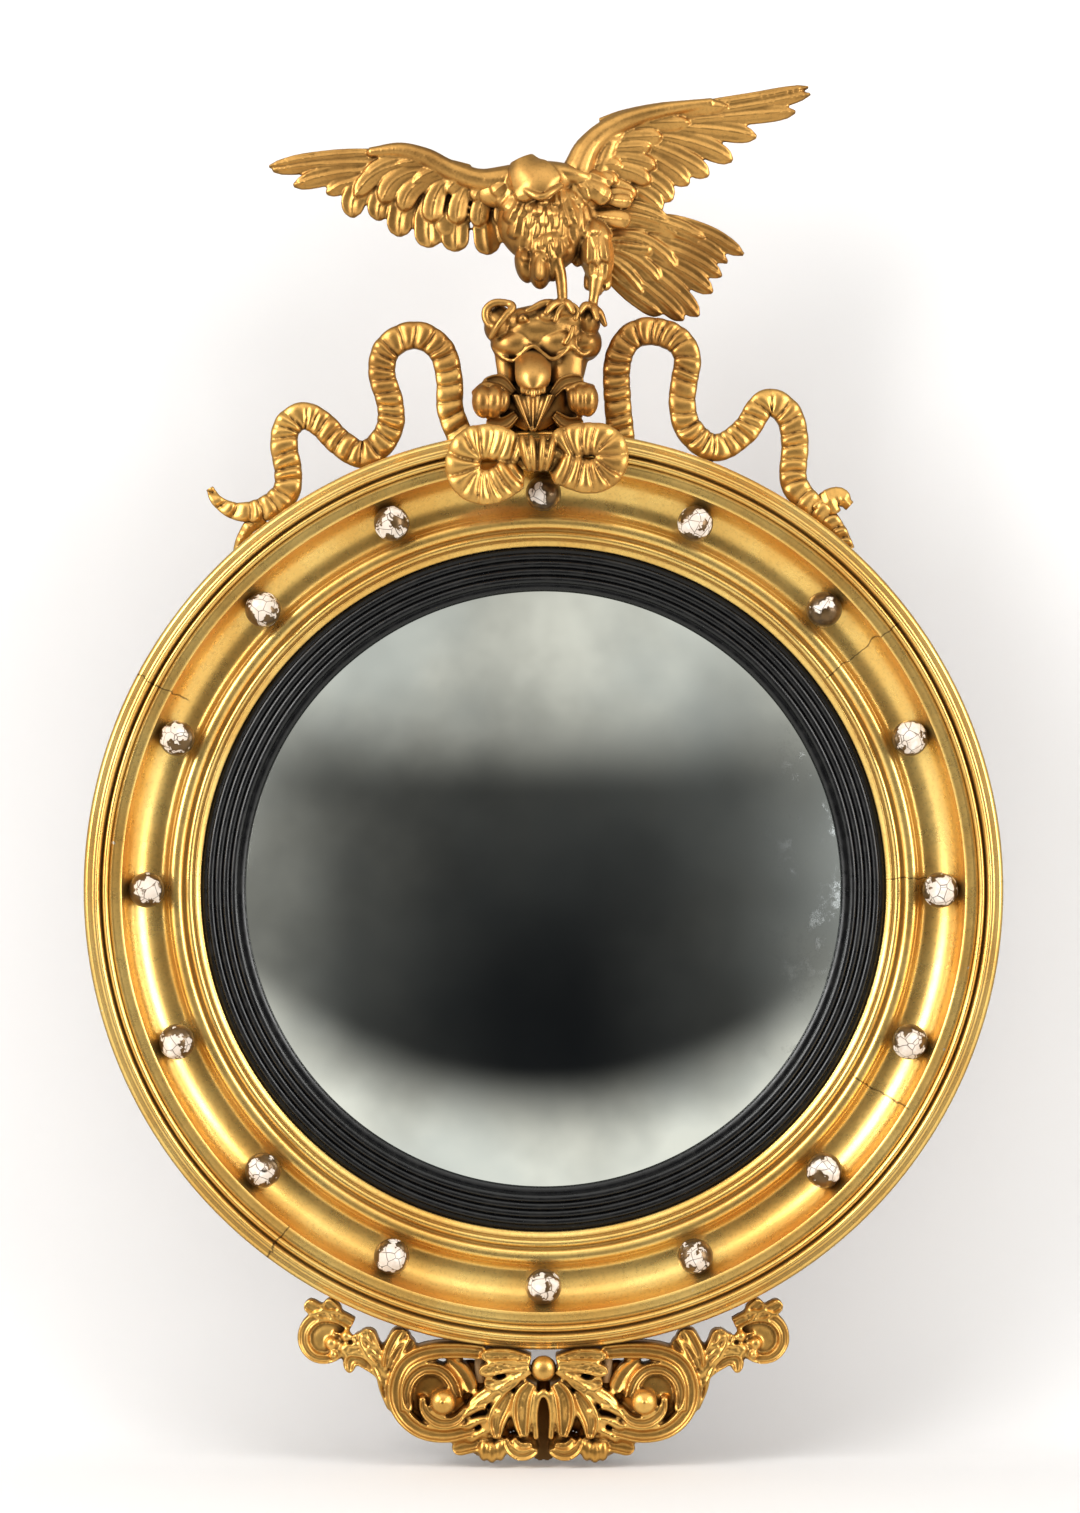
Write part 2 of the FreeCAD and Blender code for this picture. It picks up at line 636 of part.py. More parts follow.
# What the carved pieces are scribed to: the outside of the ring, one glue line larger.
top = value(ring_radius)
gap = mm("seat_gap")
bead_low = value(edge_bead_level) - mm("edge_bead_width") / 2 - gap
bead_high = value(edge_bead_level) + mm("edge_bead_width") / 2 + gap
rim_front = value(rim_level) + gap
ring_side = Part.makeCylinder(value(side_radius) + gap, bead_low + 1, Vector(0, 0, -1))
ring_bead = Part.makeCylinder(top + gap, bead_high - bead_low, Vector(0, 0, bead_low))
hollow_radius = value(outside["edge_hollow"]) + gap
ring_front = Part.makeCylinder(hollow_radius, rim_front - bead_high, Vector(0, 0, bead_high))
ring_envelope = ring_side.multiFuse([ring_bead, ring_front])

dowel_level = mm("backing_depth", "dowel_depth")


def dowels(offset, sign, radius):
    """A pair of dowels across the joint between the ring and its crest or apron."""
    inner = sign * (top - mm("dowel_bite"))
    outer = inner + sign * mm("dowel_length")
    pair = []
    for side in (-1, 1):
        foot = Vector(side * mm(offset), inner, dowel_level)
        head = Vector(side * mm(offset), outer, dowel_level)
        pair.append(rod(foot, head, radius))
    return pair


part_feature("crest_dowels", Part.makeCompound(dowels("crest_dowel_offset", 1, mm("dowel_radius"))))
part_feature("apron_dowels", Part.makeCompound(dowels("apron_dowel_offset", -1, mm("dowel_radius"))))
bore_radius = mm("dowel_radius", "dowel_clearance")


def smooth_line(points, count):
    """Evenly spaced stations along a smooth curve: (place, direction) pairs."""
    curve_line = Part.BSplineCurve()
    curve_line.interpolate([Vector(x, y, 0) for x, y in points])
    places = curve_line.toShape().discretize(Number=count)
    stations = []
    for place in places:
        direction = curve_line.tangent(curve_line.parameter(place))[0]
        stations.append((place, direction))
    return stations


def cross_section(station, half, profile):
    """A closed section square to the way: profile is (share of the half width, level)."""
    place, direction = station
    across = Vector(-direction.y, direction.x, 0)
    corners = [place + across * half * share + Vector(0, 0, level) for share, level in profile]
    return Part.makePolygon(corners + corners[:1])


def blade(points, width, back, thickness, relief):
    """A carved feather or leaf along a curve: a midrib between two sloping sides."""
    stations = smooth_line(points, 6)
    shares = (0.62, 0.86, 1.0, 0.98, 0.78, 0.22)
    sections = []
    for station, share in zip(stations, shares):
        low = back + thickness * (0.72 + 0.28 * share)
        profile = [(-1, back), (-1, low - relief), (0, low), (1, low - relief), (1, back)]
        sections.append(cross_section(station, width / 2 * share, profile))
    return Part.makeLoft(sections, True, True)


def fan(roots, tips, count, bend, width, back, thickness, relief):
    """Feathers side by side from a line of roots to a line of tips."""
    starts = smooth_line(roots, count)
    ends = smooth_line(tips, count)
    feathers = []
    for place in range(count):
        start = starts[place][0]
        end = ends[place][0]
        way = end - start
        middle = start + way * 0.5 + Vector(-way.y, way.x, 0) * bend
        points = [(start.x, start.y), (middle.x, middle.y), (end.x, end.y)]
        step = 0.25 * (place % 2)
        feathers.append(blade(points, width, back + step, thickness + step, relief))
    return feathers


def limb(points, widths, back, thickness):
    """A rounded limb or band along a curve, as wide as each station says."""
    stations = smooth_line(points, len(widths))
    sections = []
    for station, width in zip(stations, widths):
        crown = back + thickness
        profile = [(-1, back), (-1, crown - 0.45 * thickness), (-0.5, crown), (0.5, crown)]
        profile += [(1, crown - 0.45 * thickness), (1, back)]
        sections.append(cross_section(station, width / 2, profile))
    return Part.makeLoft(sections, True, True)


def egg(centre, radii, lean_angle=0):
    """An egg-shaped mass, cut in flat facets as a gouge leaves it, and leaned in the wall's plane."""
    rows = 8
    columns = 16
    rings = []
    for row in range(1, rows):
        lift = math.cos(math.pi * row / rows)
        reach = math.sin(math.pi * row / rows)
        turns = [2 * math.pi * (column + 0.5) / columns for column in range(columns)]
        rings.append([Vector(reach * math.cos(t), lift, reach * math.sin(t)) for t in turns])
    poles = [Vector(0, 1, 0), Vector(0, -1, 0)]
    facets = []
    for column in range(columns):
        after = (column + 1) % columns
        facets.append([rings[0][column], rings[0][after], poles[0]])
        facets.append([rings[-1][after], rings[-1][column], poles[1]])
        for upper, lower in zip(rings, rings[1:]):
            facets.append([upper[after], upper[column], lower[column], lower[after]])
    faces = []
    for facet in facets:
        corners = [Vector(c.x * radii[0], c.y * radii[1], c.z * radii[2]) for c in facet]
        faces.append(Part.Face(Part.makePolygon(corners + corners[:1])))
    mass = Part.Solid(Part.Shell(faces))
    if mass.Volume < 0:
        mass.reverse()
    mass.rotate(Vector(0, 0, 0), Vector(0, 0, 1), lean_angle)
    mass.translate(Vector(*centre))
    return mass


def joined(shapes):
    """Several forms carved from one block."""
    return shapes[0].multiFuse(shapes[1:]).removeSplitter()


def polar(angle, lift):
    """A point by its angle from the top, in degrees, and its height over the ring's edge."""
    reach = top + lift
    return (reach * math.sin(math.radians(angle)), reach * math.cos(math.radians(angle)))


# The rockwork plinth: lobed sections from its foot, scribed to the ring, to its top.
plinth_top = top + mm("plinth_height")
plinth_middle = mm("backing_depth") + 20
lobes = 9


def plinth_section(height_share, width_share, lobe_depth):
    """One lobed section of the rockwork, flat-lying across its height."""
    corners = []
    for step in range(2 * lobes):
        angle = math.pi * step / lobes
        swell = width_share * (1 + lobe_depth * (1 if step % 2 else -1))
        x = mm("plinth_width") / 2 * swell * math.cos(angle)
        z = plinth_middle + mm("plinth_depth") / 2 * swell * math.sin(angle)
        corners.append(Vector(x, top + mm("plinth_height") * height_share, z))
    return Part.makePolygon(corners + corners[:1])


plinth_sections = [
    plinth_section(-0.2, 0.7, 0.03),
    plinth_section(0.2, 0.8, 0.05),
    plinth_section(0.44, 0.9, 0.05),
    plinth_section(0.52, 0.99, 0.0),
    plinth_section(0.78, 1.0, -0.06),
    plinth_section(0.93, 0.88, -0.06),
    plinth_section(1.0, 0.64, -0.03),
]
ear = Part.makeCylinder(9.5, 24, Vector(-40, plinth_top - 4, plinth_middle - 6))
plinth = joined([Part.makeLoft(plinth_sections, True, True), ear])
plinth_bores = dowels("crest_dowel_offset", 1, bore_radius)
plinth = plinth.cut(ring_envelope).cut(plinth_bores[0]).cut(plinth_bores[1])
part_feature("rockwork_plinth", plinth)

# The leaf on the plinth's front and the two buds beside it.
leaf_back = plinth_middle + mm("plinth_depth") / 2 - 8
leaf = blade([(-9, top + 56), (-9, top + 34), (-9, top + 7)], 34, leaf_back, 16, 4)
knop = egg((-9, top + 41, leaf_back + 15), (13, 10, 8))
part_feature("plinth_leaf", joined([leaf, knop]).cut(plinth))
for side, name, x in ((-1, "left_bud", -42), (1, "right_bud", 30)):
    bud = egg((x, top + 21, plinth_middle + 18), (11.5, 12.5, 11.5))
    stem = rod(Vector(x, top + 21, plinth_middle + 18), Vector(side * 14, top + 17, plinth_middle + 8), 4.5)
    part_feature(name, joined([bud, stem]).cut(plinth).cut(ring_envelope))


def bow_loop(side, reaches, centres, halves):
    """One pleated loop of the bow, from the knot outwards."""
    sections = []
    pleats = 5
    for reach, centre, half in zip(reaches, centres, halves):
        crown = rim_front + mm("bow_thickness") * (0.55 + 0.45 * half / max(halves))
        corners = [Vector(side * reach, top + centre - half, rim_front)]
        for step in range(2 * pleats + 1):
            share = -0.92 + 1.84 * step / (2 * pleats)
            dip = 3.0 if step % 2 else 0
            level = rim_front + (crown - rim_front) * math.sqrt(1 - 0.8 * share**2) - dip
            corners.append(Vector(side * reach, top + centre + half * share, level))
        corners.append(Vector(side * reach, top + centre + half, rim_front))
        sections.append(Part.makePolygon(corners + corners[:1]))
    return Part.makeLoft(sections, True, True)


# The bow over the top of the ring: two loops and a knot.
left_loop = bow_loop(-1, (6, 22, 44, 62, 73), (-20, -23, -26, -23, -19), (10, 25, 33, 27, 10))
right_loop = bow_loop(1, (6, 22, 44, 60, 68), (-20, -20, -19, -20, -22), (10, 24, 30, 27, 10))
knot = egg((-2, top - 20, rim_front + 10), (15, 15, 13))
front_slab = box(200, 200, 60, Vector(0, top, rim_front))
part_feature("ribbon_bow", joined([left_loop, right_loop, knot.common(front_slab)]))


def ribbon(route, taper_from):
    """A pleated ribbon: sections at every ridge and furrow along a smooth line."""
    points = [polar(angle, lift) for angle, lift in route]
    line = Part.BSplineCurve()
    line.interpolate([Vector(x, y, 0) for x, y in points])
    count = 2 * int(line.length() / mm("pleat_pitch")) + 1
    sections = []
    for place, station in enumerate(smooth_line(points, count)):
        share = place / (count - 1)
        taper = 1 if share < taper_from else 1 - 0.75 * (share - taper_from) / (1 - taper_from)
        front = mm("ribbon_back") + mm("ribbon_thickness") * (0.4 + 0.6 * taper)
        front -= mm("pleat_depth") * taper * (place % 2)
        profile = [(-1, mm("ribbon_back")), (-0.82, front), (0.82, front), (1, mm("ribbon_back"))]
        sections.append(cross_section(station, mm("ribbon_width") / 2 * taper, profile))
    return Part.makeLoft(sections, True, True)


# The ribbons, from the bow over the crest's shoulders to their tails on the ring's edge.
seat = mm("ribbon_width") / 2 - 0.2
left_route = [
    (-10.0, seat - 8),
    (-11.1, 24),
    (-10.6, 46),
    (-10.8, 70),
    (-13.0, 84),
    (-15.9, 81),
    (-17.4, 64),
    (-17.5, 41),
    (-18.4, 24),
    (-20.2, 13),
    (-22.6, seat),
    (-24.6, 27),
    (-26.6, 48),
    (-28.8, 54),
    (-30.2, 42),
    (-31.4, 24),
    (-33.2, seat),
    (-36.2, 12),
    (-39.1, 23),
    (-40.4, 38),
    (-39.9, 50),
]
right_route = [
    (8.6, seat - 8),
    (9.4, 20),
    (8.6, 46),
    (8.3, 66),
    (10.6, 80),
    (13.2, 83),
    (15.2, 68),
    (15.6, 46),
    (16.1, 26),
    (18.4, 13),
    (21.4, seat),
    (23.6, 22),
    (24.0, 42),
    (25.3, 58),
    (27.6, 58),
    (29.2, 44),
    (31.0, 24),
    (33.0, seat),
    (36.0, 13),
    (38.4, 20),
    (40.6, 11),
    (42.6, 1),
]
part_feature("left_ribbon", ribbon(left_route, 0.84).cut(ring_envelope))
part_feature("right_ribbon", ribbon(right_route, 0.84).cut(ring_envelope))


# The eagle's body: trunk, shoulders, bowed head, thighs, shanks and toes in one block.
def toes(ankle, ends):
    """The toes of one foot, spread over the rockwork."""
    return [rod(Vector(*ankle), Vector(*end), 3.2) for end in ends]


perch = plinth_top
trunk = [
    egg((4, perch + 66, 48), (50, 32, 30), -16),
    egg((-12, perch + 92, 48), (25, 19, 21), 12),
    egg((4, perch + 88, 68), (18, 13, 13), -8),
    egg((36, perch + 84, 46), (22, 26, 20), 20),
    egg((2, perch + 38, 56), (17, 20, 15)),
    egg((42, perch + 40, 50), (15, 27, 14), 12),
    rod(Vector(12, perch + 28, 56), Vector(15, perch - 8, 54), 4),
    rod(Vector(38, perch + 22, 50), Vector(36, perch - 8, 50), 4),
]
trunk += toes((15, perch + 1, 54), [(-12, perch - 3, 60), (6, perch - 3, 66), (24, perch - 3, 64)])
trunk += toes((36, perch - 1, 50), [(26, perch - 4, 62), (40, perch - 9, 60), (44, perch - 12, 50)])
eagle = joined(trunk)
part_feature("eagle_body", eagle.cut(plinth))


def wing(roots, tips, count, bend, width, arm, arm_widths):
    """A wing: long feathers, a row of coverts over them and the arm along the top."""
    back = mm("wing_back")
    thickness = mm("wing_thickness")
    relief = mm("feather_relief")
    feathers = fan(roots, tips, count, bend, width, back, thickness * 0.6, relief)
    covert_tips = []
    for root, tip in zip(smooth_line(roots, 5), smooth_line(tips, 5)):
        middle = root[0] + (tip[0] - root[0]) * 0.5
        covert_tips.append((middle.x, middle.y))
    coverts = fan(roots, covert_tips, count - 2, bend, width * 0.95, back + 1, thickness, relief)
    return joined(feathers + coverts + [limb(arm, arm_widths, back + 0.6, thickness * 1.2)])


left_wing = wing(
    [(-125, perch + 114), (-98, perch + 110), (-66, perch + 96), (-28, perch + 84)],
    [
        (-207, perch + 107),
        (-175, perch + 88),
        (-143, perch + 69),
        (-108, perch + 54),
        (-66, perch + 43),
        (-40, perch + 41),
    ],
    11,
    -0.08,
    20,
    [(-176, perch + 112), (-108, perch + 116), (-82, perch + 108), (-56, perch + 95), (-22, perch + 98)],
    (8, 13, 15, 16, 18, 22),
)
right_wing = wing(
    [(110, perch + 150), (84, perch + 140), (62, perch + 122), (46, perch + 86)],
    [
        (201, perch + 164),
        (187, perch + 147),
        (159, perch + 126),
        (124, perch + 99),
        (95, perch + 79),
        (84, perch + 71),
    ],
    11,
    0.06,
    18,
    [(165, perch + 160), (112, perch + 150), (70, perch + 140), (42, perch + 122), (28, perch + 100)],
    (8, 12, 15, 17, 20, 22),
)
part_feature("left_wing", left_wing.cut(eagle))
part_feature("right_wing", right_wing.cut(eagle))



# The tail: feathers fanned out behind the rockwork, glued and pinned to the body.
tail = fan(
    [(44, perch + 66), (52, perch + 52), (50, perch + 34)],
    [(152, perch + 45), (137, perch + 28), (120, perch + 4), (90, perch + 5)],
    7,
    0.06,
    18,
    mm("tail_back"),
    mm("tail_thickness"),
    mm("feather_relief"),
)
part_feature("eagle_tail", joined(tail).cut(eagle).cut(plinth).cut(right_wing))


def mirrored(shape):
    """The same carving on the other side of the middle."""
    return shape.mirror(Vector(0, 0, 0), Vector(1, 0, 0))


def spiral(centre, start, end, first, sweep, count):
    """Points along a scroll that winds inwards from a first angle, in degrees."""
    points = []
    for step in range(count):
        share = step / (count - 1)
        radius = start + (end - start) * share
        angle = math.radians(first + sweep * share)
        points.append((centre[0] + radius * math.cos(angle), centre[1] + radius * math.sin(angle)))
    return points


# The apron: a sawn ground with scrolls and acanthus leaves in relief, one half mirrored.
ground_back = mm("apron_back")
ground_front = mm("apron_back", "apron_board")
relief_height = mm("apron_relief")
foot = -top
ground_line = [(0, 12), (-84, 22), (-98, -2), (-112, -20), (-115, -42), (-104, -58), (-82, -68)]
ground_line += [(-56, -69), (-44, -82), (-10, -84), (0, -84)]
ground_face = Part.Face(Part.makePolygon([Vector(x, foot + y, ground_back) for x, y in ground_line + ground_line[:1]]))
half = [ground_face.extrude(Vector(0, 0, ground_front - ground_back))]
main_centre = (-85, foot - 37)
main_widths = [10] * 14 + [9, 9, 8, 8, 8, 7, 7, 6, 6, 6]
half.append(limb(spiral(main_centre, 36, 9, 62, 560, 24), main_widths, ground_front - 8, relief_height))
half.append(egg((main_centre[0] + 6, main_centre[1], ground_front + 3), (11, 11, 9)))
outer_centre = (-164, foot + 6)
outer_widths = [9] * 10 + [8, 8, 7, 7, 6, 6]
half.append(limb(spiral(outer_centre, 18, 6, 100, 520, 16), outer_widths, ground_back + 4, 20))
half.append(Part.makeCylinder(14, 12, Vector(*outer_centre, ground_back + 2)))
stalk = [(-114, foot - 34), (-124, foot - 16), (-140, foot - 12), (-160, foot - 13)]
half.append(limb(stalk, (14, 17, 15, 12, 9), ground_back + 2, 18))
ear_line = [(-158, foot + 22), (-170, foot + 28), (-176, foot + 38)]
half.append(blade(ear_line, 16, ground_back + 4, 14, 3))
leaves = (
    ([(-118, foot - 28), (-112, foot - 6), (-106, foot + 13)], 19, 16),
    ([(-118, foot - 28), (-128, foot - 4), (-134, foot + 12)], 15, 14),
    ([(-122, foot - 20), (-134, foot - 12), (-141, foot - 20)], 13, 12),
    ([(-12, foot - 12), (-30, foot - 9), (-49, foot - 11)], 20, 24),
    ([(-8, foot - 20), (-28, foot - 24), (-46, foot - 32)], 16, 22),
    ([(-12, foot - 24), (-36, foot - 42), (-58, foot - 50)], 14, 20),
    ([(-16, foot - 28), (-36, foot - 52), (-56, foot - 64)], 14, 19),
    ([(-16, foot - 28), (-30, foot - 46), (-37, foot - 71)], 17, 22),
    ([(-10, foot - 26), (-19, foot - 42), (-16, foot - 66)], 19, 24),
    ([(-26, foot - 64), (-18, foot - 80), (-8, foot - 86)], 17, 18),
    ([(-42, foot - 62), (-38, foot - 76), (-37, foot - 89)], 17, 17),
    ([(-52, foot - 62), (-58, foot - 72), (-68, foot - 80)], 15, 15),
)
for place, (line, width, rise) in enumerate(leaves):
    level = ground_front - 10 if place > 2 else ground_back + 2
    half.append(blade(line, width, level + 0.3 * (place % 3), rise, 4))
half_apron = joined(half)
slot_foot = foot - 100
slot_head = foot - 43
slot_half = mm("slot_width") / 2
slot = Part.makeBox(2 * slot_half, slot_head - slot_foot, 90, Vector(-slot_half, slot_foot, 0))
slot = slot.fuse(Part.makeCylinder(slot_half, 90, Vector(0, slot_head, 0)))
eyelet = Part.makeCylinder(4.5, 90, Vector(-66.5, foot - 21, 0))
apron = half_apron.cut(eyelet).fuse(mirrored(half_apron.cut(eyelet))).cut(slot)
boss_height = foot - 13.5
boss_bore = Part.makeCylinder(3.1, 9, Vector(0, boss_height, ground_front - 9))
boss_bed = Part.makeCylinder(mm("boss_radius") + 1, 60, Vector(0, boss_height, ground_front))
apron = apron.cut(ring_envelope).cut(boss_bore).cut(boss_bed)
for hole in dowels("apron_dowel_offset", -1, bore_radius):
    apron = apron.cut(hole)
part_feature("apron_carving", apron.removeSplitter())

# The turned boss, on a spigot in the apron's ground.
boss_place = HUNG.multiply(Placement(Vector(0, boss_height, ground_front), Rotation()))
turned(
    "apron_boss",
    [
        ("0", "-8"),
        ("3", "-8"),
        ("3", "0.3"),
        ("Sizes.boss_radius", "0.3"),
        ("Sizes.boss_radius", "4"),
        ("0", "14", "10.3", -1),
    ],
    boss_place,
)


def pin(start, end, side):
    """A square pin from one point to another."""
    way = end - start
    shank = Part.makeBox(side, side, way.Length, Vector(-side / 2, -side / 2, 0))
    shank.Placement = Placement(start, Rotation(Vector(0, 0, 1), way))
    return shank


# Pins that hold the ribbons and the bow to the ring, and the wings and tail to the body.
pins = []
for angle in (-33.2, -22.6, 21.4, 33.0):
    inner = Vector(*polar(angle, -16), mm("ribbon_back") + 5)
    outer = Vector(*polar(angle, 6), mm("ribbon_back") + 5)
    pins.append(pin(inner, outer, 2.2))
for x in (-36, 36):
    pins.append(pin(Vector(x, top - 20, rim_front - 18), Vector(x, top - 20, rim_front + 8), 2.2))
pins.append(pin(Vector(-6, perch + 92, 38), Vector(-52, perch + 96, 38), 4))
pins.append(pin(Vector(38, perch + 92, 40), Vector(50, perch + 124, 40), 4))
pins.append(pin(Vector(26, perch + 52, 31), Vector(76, perch + 46, 29), 4))
part_feature("carving_pins", Part.makeCompound(pins))

doc.recompute()
for made in doc.Objects:
    if "Invalid" in made.State or "Error" in made.State:
        raise RuntimeError(f"{made.Label} did not build: {made.State}")
os.makedirs("parts", exist_ok=True)
for piece in pieces:
    if piece.Shape.isNull() or not piece.Shape.isValid():
        raise RuntimeError(f"{piece.Label} has no sound shape")
    piece.Shape.exportStep(f"parts/{piece.Label}.step")
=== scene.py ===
import math
import random

import bmesh
import bpy
from mathutils import Matrix, Vector, geometry, noise


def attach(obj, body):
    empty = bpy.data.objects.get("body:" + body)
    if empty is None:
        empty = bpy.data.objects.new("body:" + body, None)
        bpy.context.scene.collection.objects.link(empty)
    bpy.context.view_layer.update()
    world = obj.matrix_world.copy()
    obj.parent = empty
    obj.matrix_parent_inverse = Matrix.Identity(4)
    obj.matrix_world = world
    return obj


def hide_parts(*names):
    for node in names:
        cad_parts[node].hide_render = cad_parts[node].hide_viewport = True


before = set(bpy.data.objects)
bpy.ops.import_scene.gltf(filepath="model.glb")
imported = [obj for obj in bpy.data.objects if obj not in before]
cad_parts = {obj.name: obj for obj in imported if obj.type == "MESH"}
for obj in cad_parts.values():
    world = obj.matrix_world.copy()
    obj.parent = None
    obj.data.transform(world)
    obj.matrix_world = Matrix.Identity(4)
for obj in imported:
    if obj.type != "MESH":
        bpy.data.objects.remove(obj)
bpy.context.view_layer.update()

# ---------------------------------------------------------------- the studio
# A pale sweep of paper behind and under the mirror, two soft boxes at the sides, one
# overhead, and a room that is bright above, below and at the sides but dark where the
# camera stands. The camera looks square on from three metres.
MM = 0.001


def colour(hex_code):
    """An sRGB hex value as the linear colour that a shader takes."""
    channels = [int(hex_code[place:place + 2], 16) / 255 for place in (1, 3, 5)]
    linear = [c / 12.92 if c <= 0.04045 else ((c + 0.055) / 1.055) ** 2.4 for c in channels]
    return (*linear, 1.0)


def add(tree, kind, inputs=None, **settings):
    """Adds one node to a tree, sets it, and feeds its inputs from values or sockets."""
    made = tree.nodes.new(kind)
    for name, setting in settings.items():
        setattr(made, name, setting)
    for name, feed in (inputs or {}).items():
        if isinstance(feed, bpy.types.NodeSocket):
            tree.links.new(feed, made.inputs[name])
        else:
            made.inputs[name].default_value = feed
    return made


def new_material(name):
    """An empty node material and its tree."""
    material = bpy.data.materials.new(name)
    material.use_nodes = True
    material.node_tree.nodes.clear()
    return material, material.node_tree


def blend_colours(tree, factor, first, second):
    """Two colours mixed by a factor."""
    return add(tree, "ShaderNodeMix", {0: factor, 6: first, 7: second}, data_type="RGBA").outputs[2]


def either(tree, factor, first, second):
    """One shader or the other, by a factor."""
    return add(tree, "ShaderNodeMixShader", {0: factor, 1: first.outputs[0], 2: second.outputs[0]})


def stretch(tree, value, low, high, start=0.0, end=1.0):
    """A value mapped from one range to another, smoothly and clamped."""
    feeds = {"Value": value, "From Min": low, "From Max": high, "To Min": start, "To Max": end}
    return add(tree, "ShaderNodeMapRange", feeds, interpolation_type="SMOOTHSTEP").outputs["Result"]


def sum_up(tree, kind, first, second=0.0):
    """One sum of two values."""
    return add(tree, "ShaderNodeMath", {0: first, 1: second}, operation=kind).outputs[0]


def noise_on(tree, spot, scale, detail, roughness=0.5, distortion=0.0):
    """Cloudy noise at a place, its scale in clouds a metre."""
    feeds = {"Vector": spot, "Scale": scale, "Detail": detail}
    feeds.update({"Roughness": roughness, "Distortion": distortion})
    return add(tree, "ShaderNodeTexNoise", feeds).outputs[0]


def finished(bm, name, material):
    """The bmesh as a mesh object at the origin, with one material."""
    bmesh.ops.recalc_face_normals(bm, faces=bm.faces)
    mesh = bpy.data.meshes.new(name)
    bm.to_mesh(mesh)
    bm.free()
    mesh.materials.append(material)
    for face in mesh.polygons:
        face.use_smooth = True
    piece = bpy.data.objects.new(name, mesh)
    bpy.context.scene.collection.objects.link(piece)
    return piece


paper, tree = new_material("seamless_paper")
path = add(tree, "ShaderNodeLightPath")
facing = add(tree, "ShaderNodeNewGeometry")
paper_shade = add(tree, "ShaderNodeBsdfDiffuse", {"Color": colour("#e3e2e1")})
glow = add(tree, "ShaderNodeEmission", {"Color": colour("#ffffff"), "Strength": 0.05})
lit = add(tree, "ShaderNodeAddShader", {0: paper_shade.outputs[0], 1: glow.outputs[0]})
seen = either(tree, path.outputs["Is Camera Ray"], paper_shade, lit)
clear = add(tree, "ShaderNodeBsdfTransparent")
front_only = either(tree, facing.outputs["Backfacing"], seen, clear)
add(tree, "ShaderNodeOutputMaterial", {"Surface": front_only.outputs[0]})

floor_level = -434.5 * MM
wall_gap = 130 * MM
paper_front, paper_top, paper_width = -1.5, 2.2, 4.4
bend_radius = 0.12
bm = bmesh.new()
outline = ((paper_front, floor_level), (wall_gap, floor_level), (wall_gap, paper_top))
sweep = [bm.verts.new((-paper_width / 2, *spot)) for spot in outline]
edges = [bm.edges.new(pair) for pair in zip(sweep, sweep[1:])]
extruded = bmesh.ops.extrude_edge_only(bm, edges=edges)
moved = [item for item in extruded["geom"] if isinstance(item, bmesh.types.BMVert)]
bmesh.ops.translate(bm, verts=moved, vec=(paper_width, 0, 0))
corner = [e for e in bm.edges if all(abs(v.co.y - wall_gap) < 1e-6 and v.co.z < 0 for v in e.verts)]
bmesh.ops.bevel(bm, geom=corner, offset=bend_radius, segments=12, profile=0.5, affect="EDGES", material=-1)
backdrop = finished(bm, "paper_sweep", paper)
if backdrop.data.polygons[0].normal.z < 0:
    backdrop.data.flip_normals()
backdrop.visible_glossy = False

world = bpy.data.worlds.new("studio_room")
bpy.context.scene.world = world
world.use_nodes = True
tree = world.node_tree
tree.nodes.clear()
# What the gilding and the glass reflect, by direction: a ceiling, a floor whose edge
# climbs towards the sides, light from each side, and dusk between them.
way = add(tree, "ShaderNodeTexCoord").outputs["Generated"]
direction = add(tree, "ShaderNodeSeparateXYZ", {0: way})
upward = direction.outputs["Z"]
sideways = sum_up(tree, "ABSOLUTE", direction.outputs["X"])
ceiling = stretch(tree, upward, 0.16, 0.44, 0.0, 0.72)
room = sum_up(tree, "ADD", ceiling, stretch(tree, upward, -0.3, 0.15, 0.006, 0.045))
climb = sum_up(tree, "MULTIPLY", sum_up(tree, "MULTIPLY", sideways, sideways), 0.72)
downward = sum_up(tree, "SUBTRACT", sum_up(tree, "MINIMUM", climb, 0.26), upward)
room = sum_up(tree, "ADD", room, stretch(tree, downward, 0.395, 0.615, 0.0, 1.08))
for low, high, strength in ((0.36, 0.68, 0.28), (0.62, 0.84, 0.8), (0.05, 0.45, 0.05)):
    room = sum_up(tree, "ADD", room, stretch(tree, sideways, low, high, 0.0, strength))
clutter = noise_on(tree, way, 3.2, 4.0)
room = sum_up(tree, "MULTIPLY", room, stretch(tree, clutter, 0.3, 0.7, 0.66, 1.1))
behind = stretch(tree, direction.outputs["Y"], -0.1, 0.2)
room = sum_up(tree, "MULTIPLY", room, sum_up(tree, "SUBTRACT", 1.0, behind))
room = sum_up(tree, "ADD", room, sum_up(tree, "MULTIPLY", behind, 0.28))
room_colour = blend_colours(tree, room, colour("#101215"), colour("#fffef4"))
path = add(tree, "ShaderNodeLightPath")
soft = add(tree, "ShaderNodeBackground", {"Color": colour("#fdfbf8"), "Strength": 0.42})
glossy = add(tree, "ShaderNodeBackground", {"Color": room_colour, "Strength": 1.0})
white = add(tree, "ShaderNodeBackground", {"Color": colour("#f6f6f6"), "Strength": 1.0})
unseen = either(tree, path.outputs["Is Glossy Ray"], soft, glossy)
seen = either(tree, path.outputs["Is Camera Ray"], unseen, white)
add(tree, "ShaderNodeOutputWorld", {"Surface": seen.outputs[0]})


def soft_box(name, place, size, power):
    """A soft box that faces the middle of the mirror."""
    aim = Vector((0, 0, 0.05))
    data = bpy.data.lights.new(name, "AREA")
    data.shape = "RECTANGLE"
    data.size, data.size_y = size
    data.energy = power
    lamp = bpy.data.objects.new(name, data)
    bpy.context.scene.collection.objects.link(lamp)
    lamp.location = place
    lamp.rotation_euler = (aim - Vector(place)).to_track_quat("-Z", "Y").to_euler()


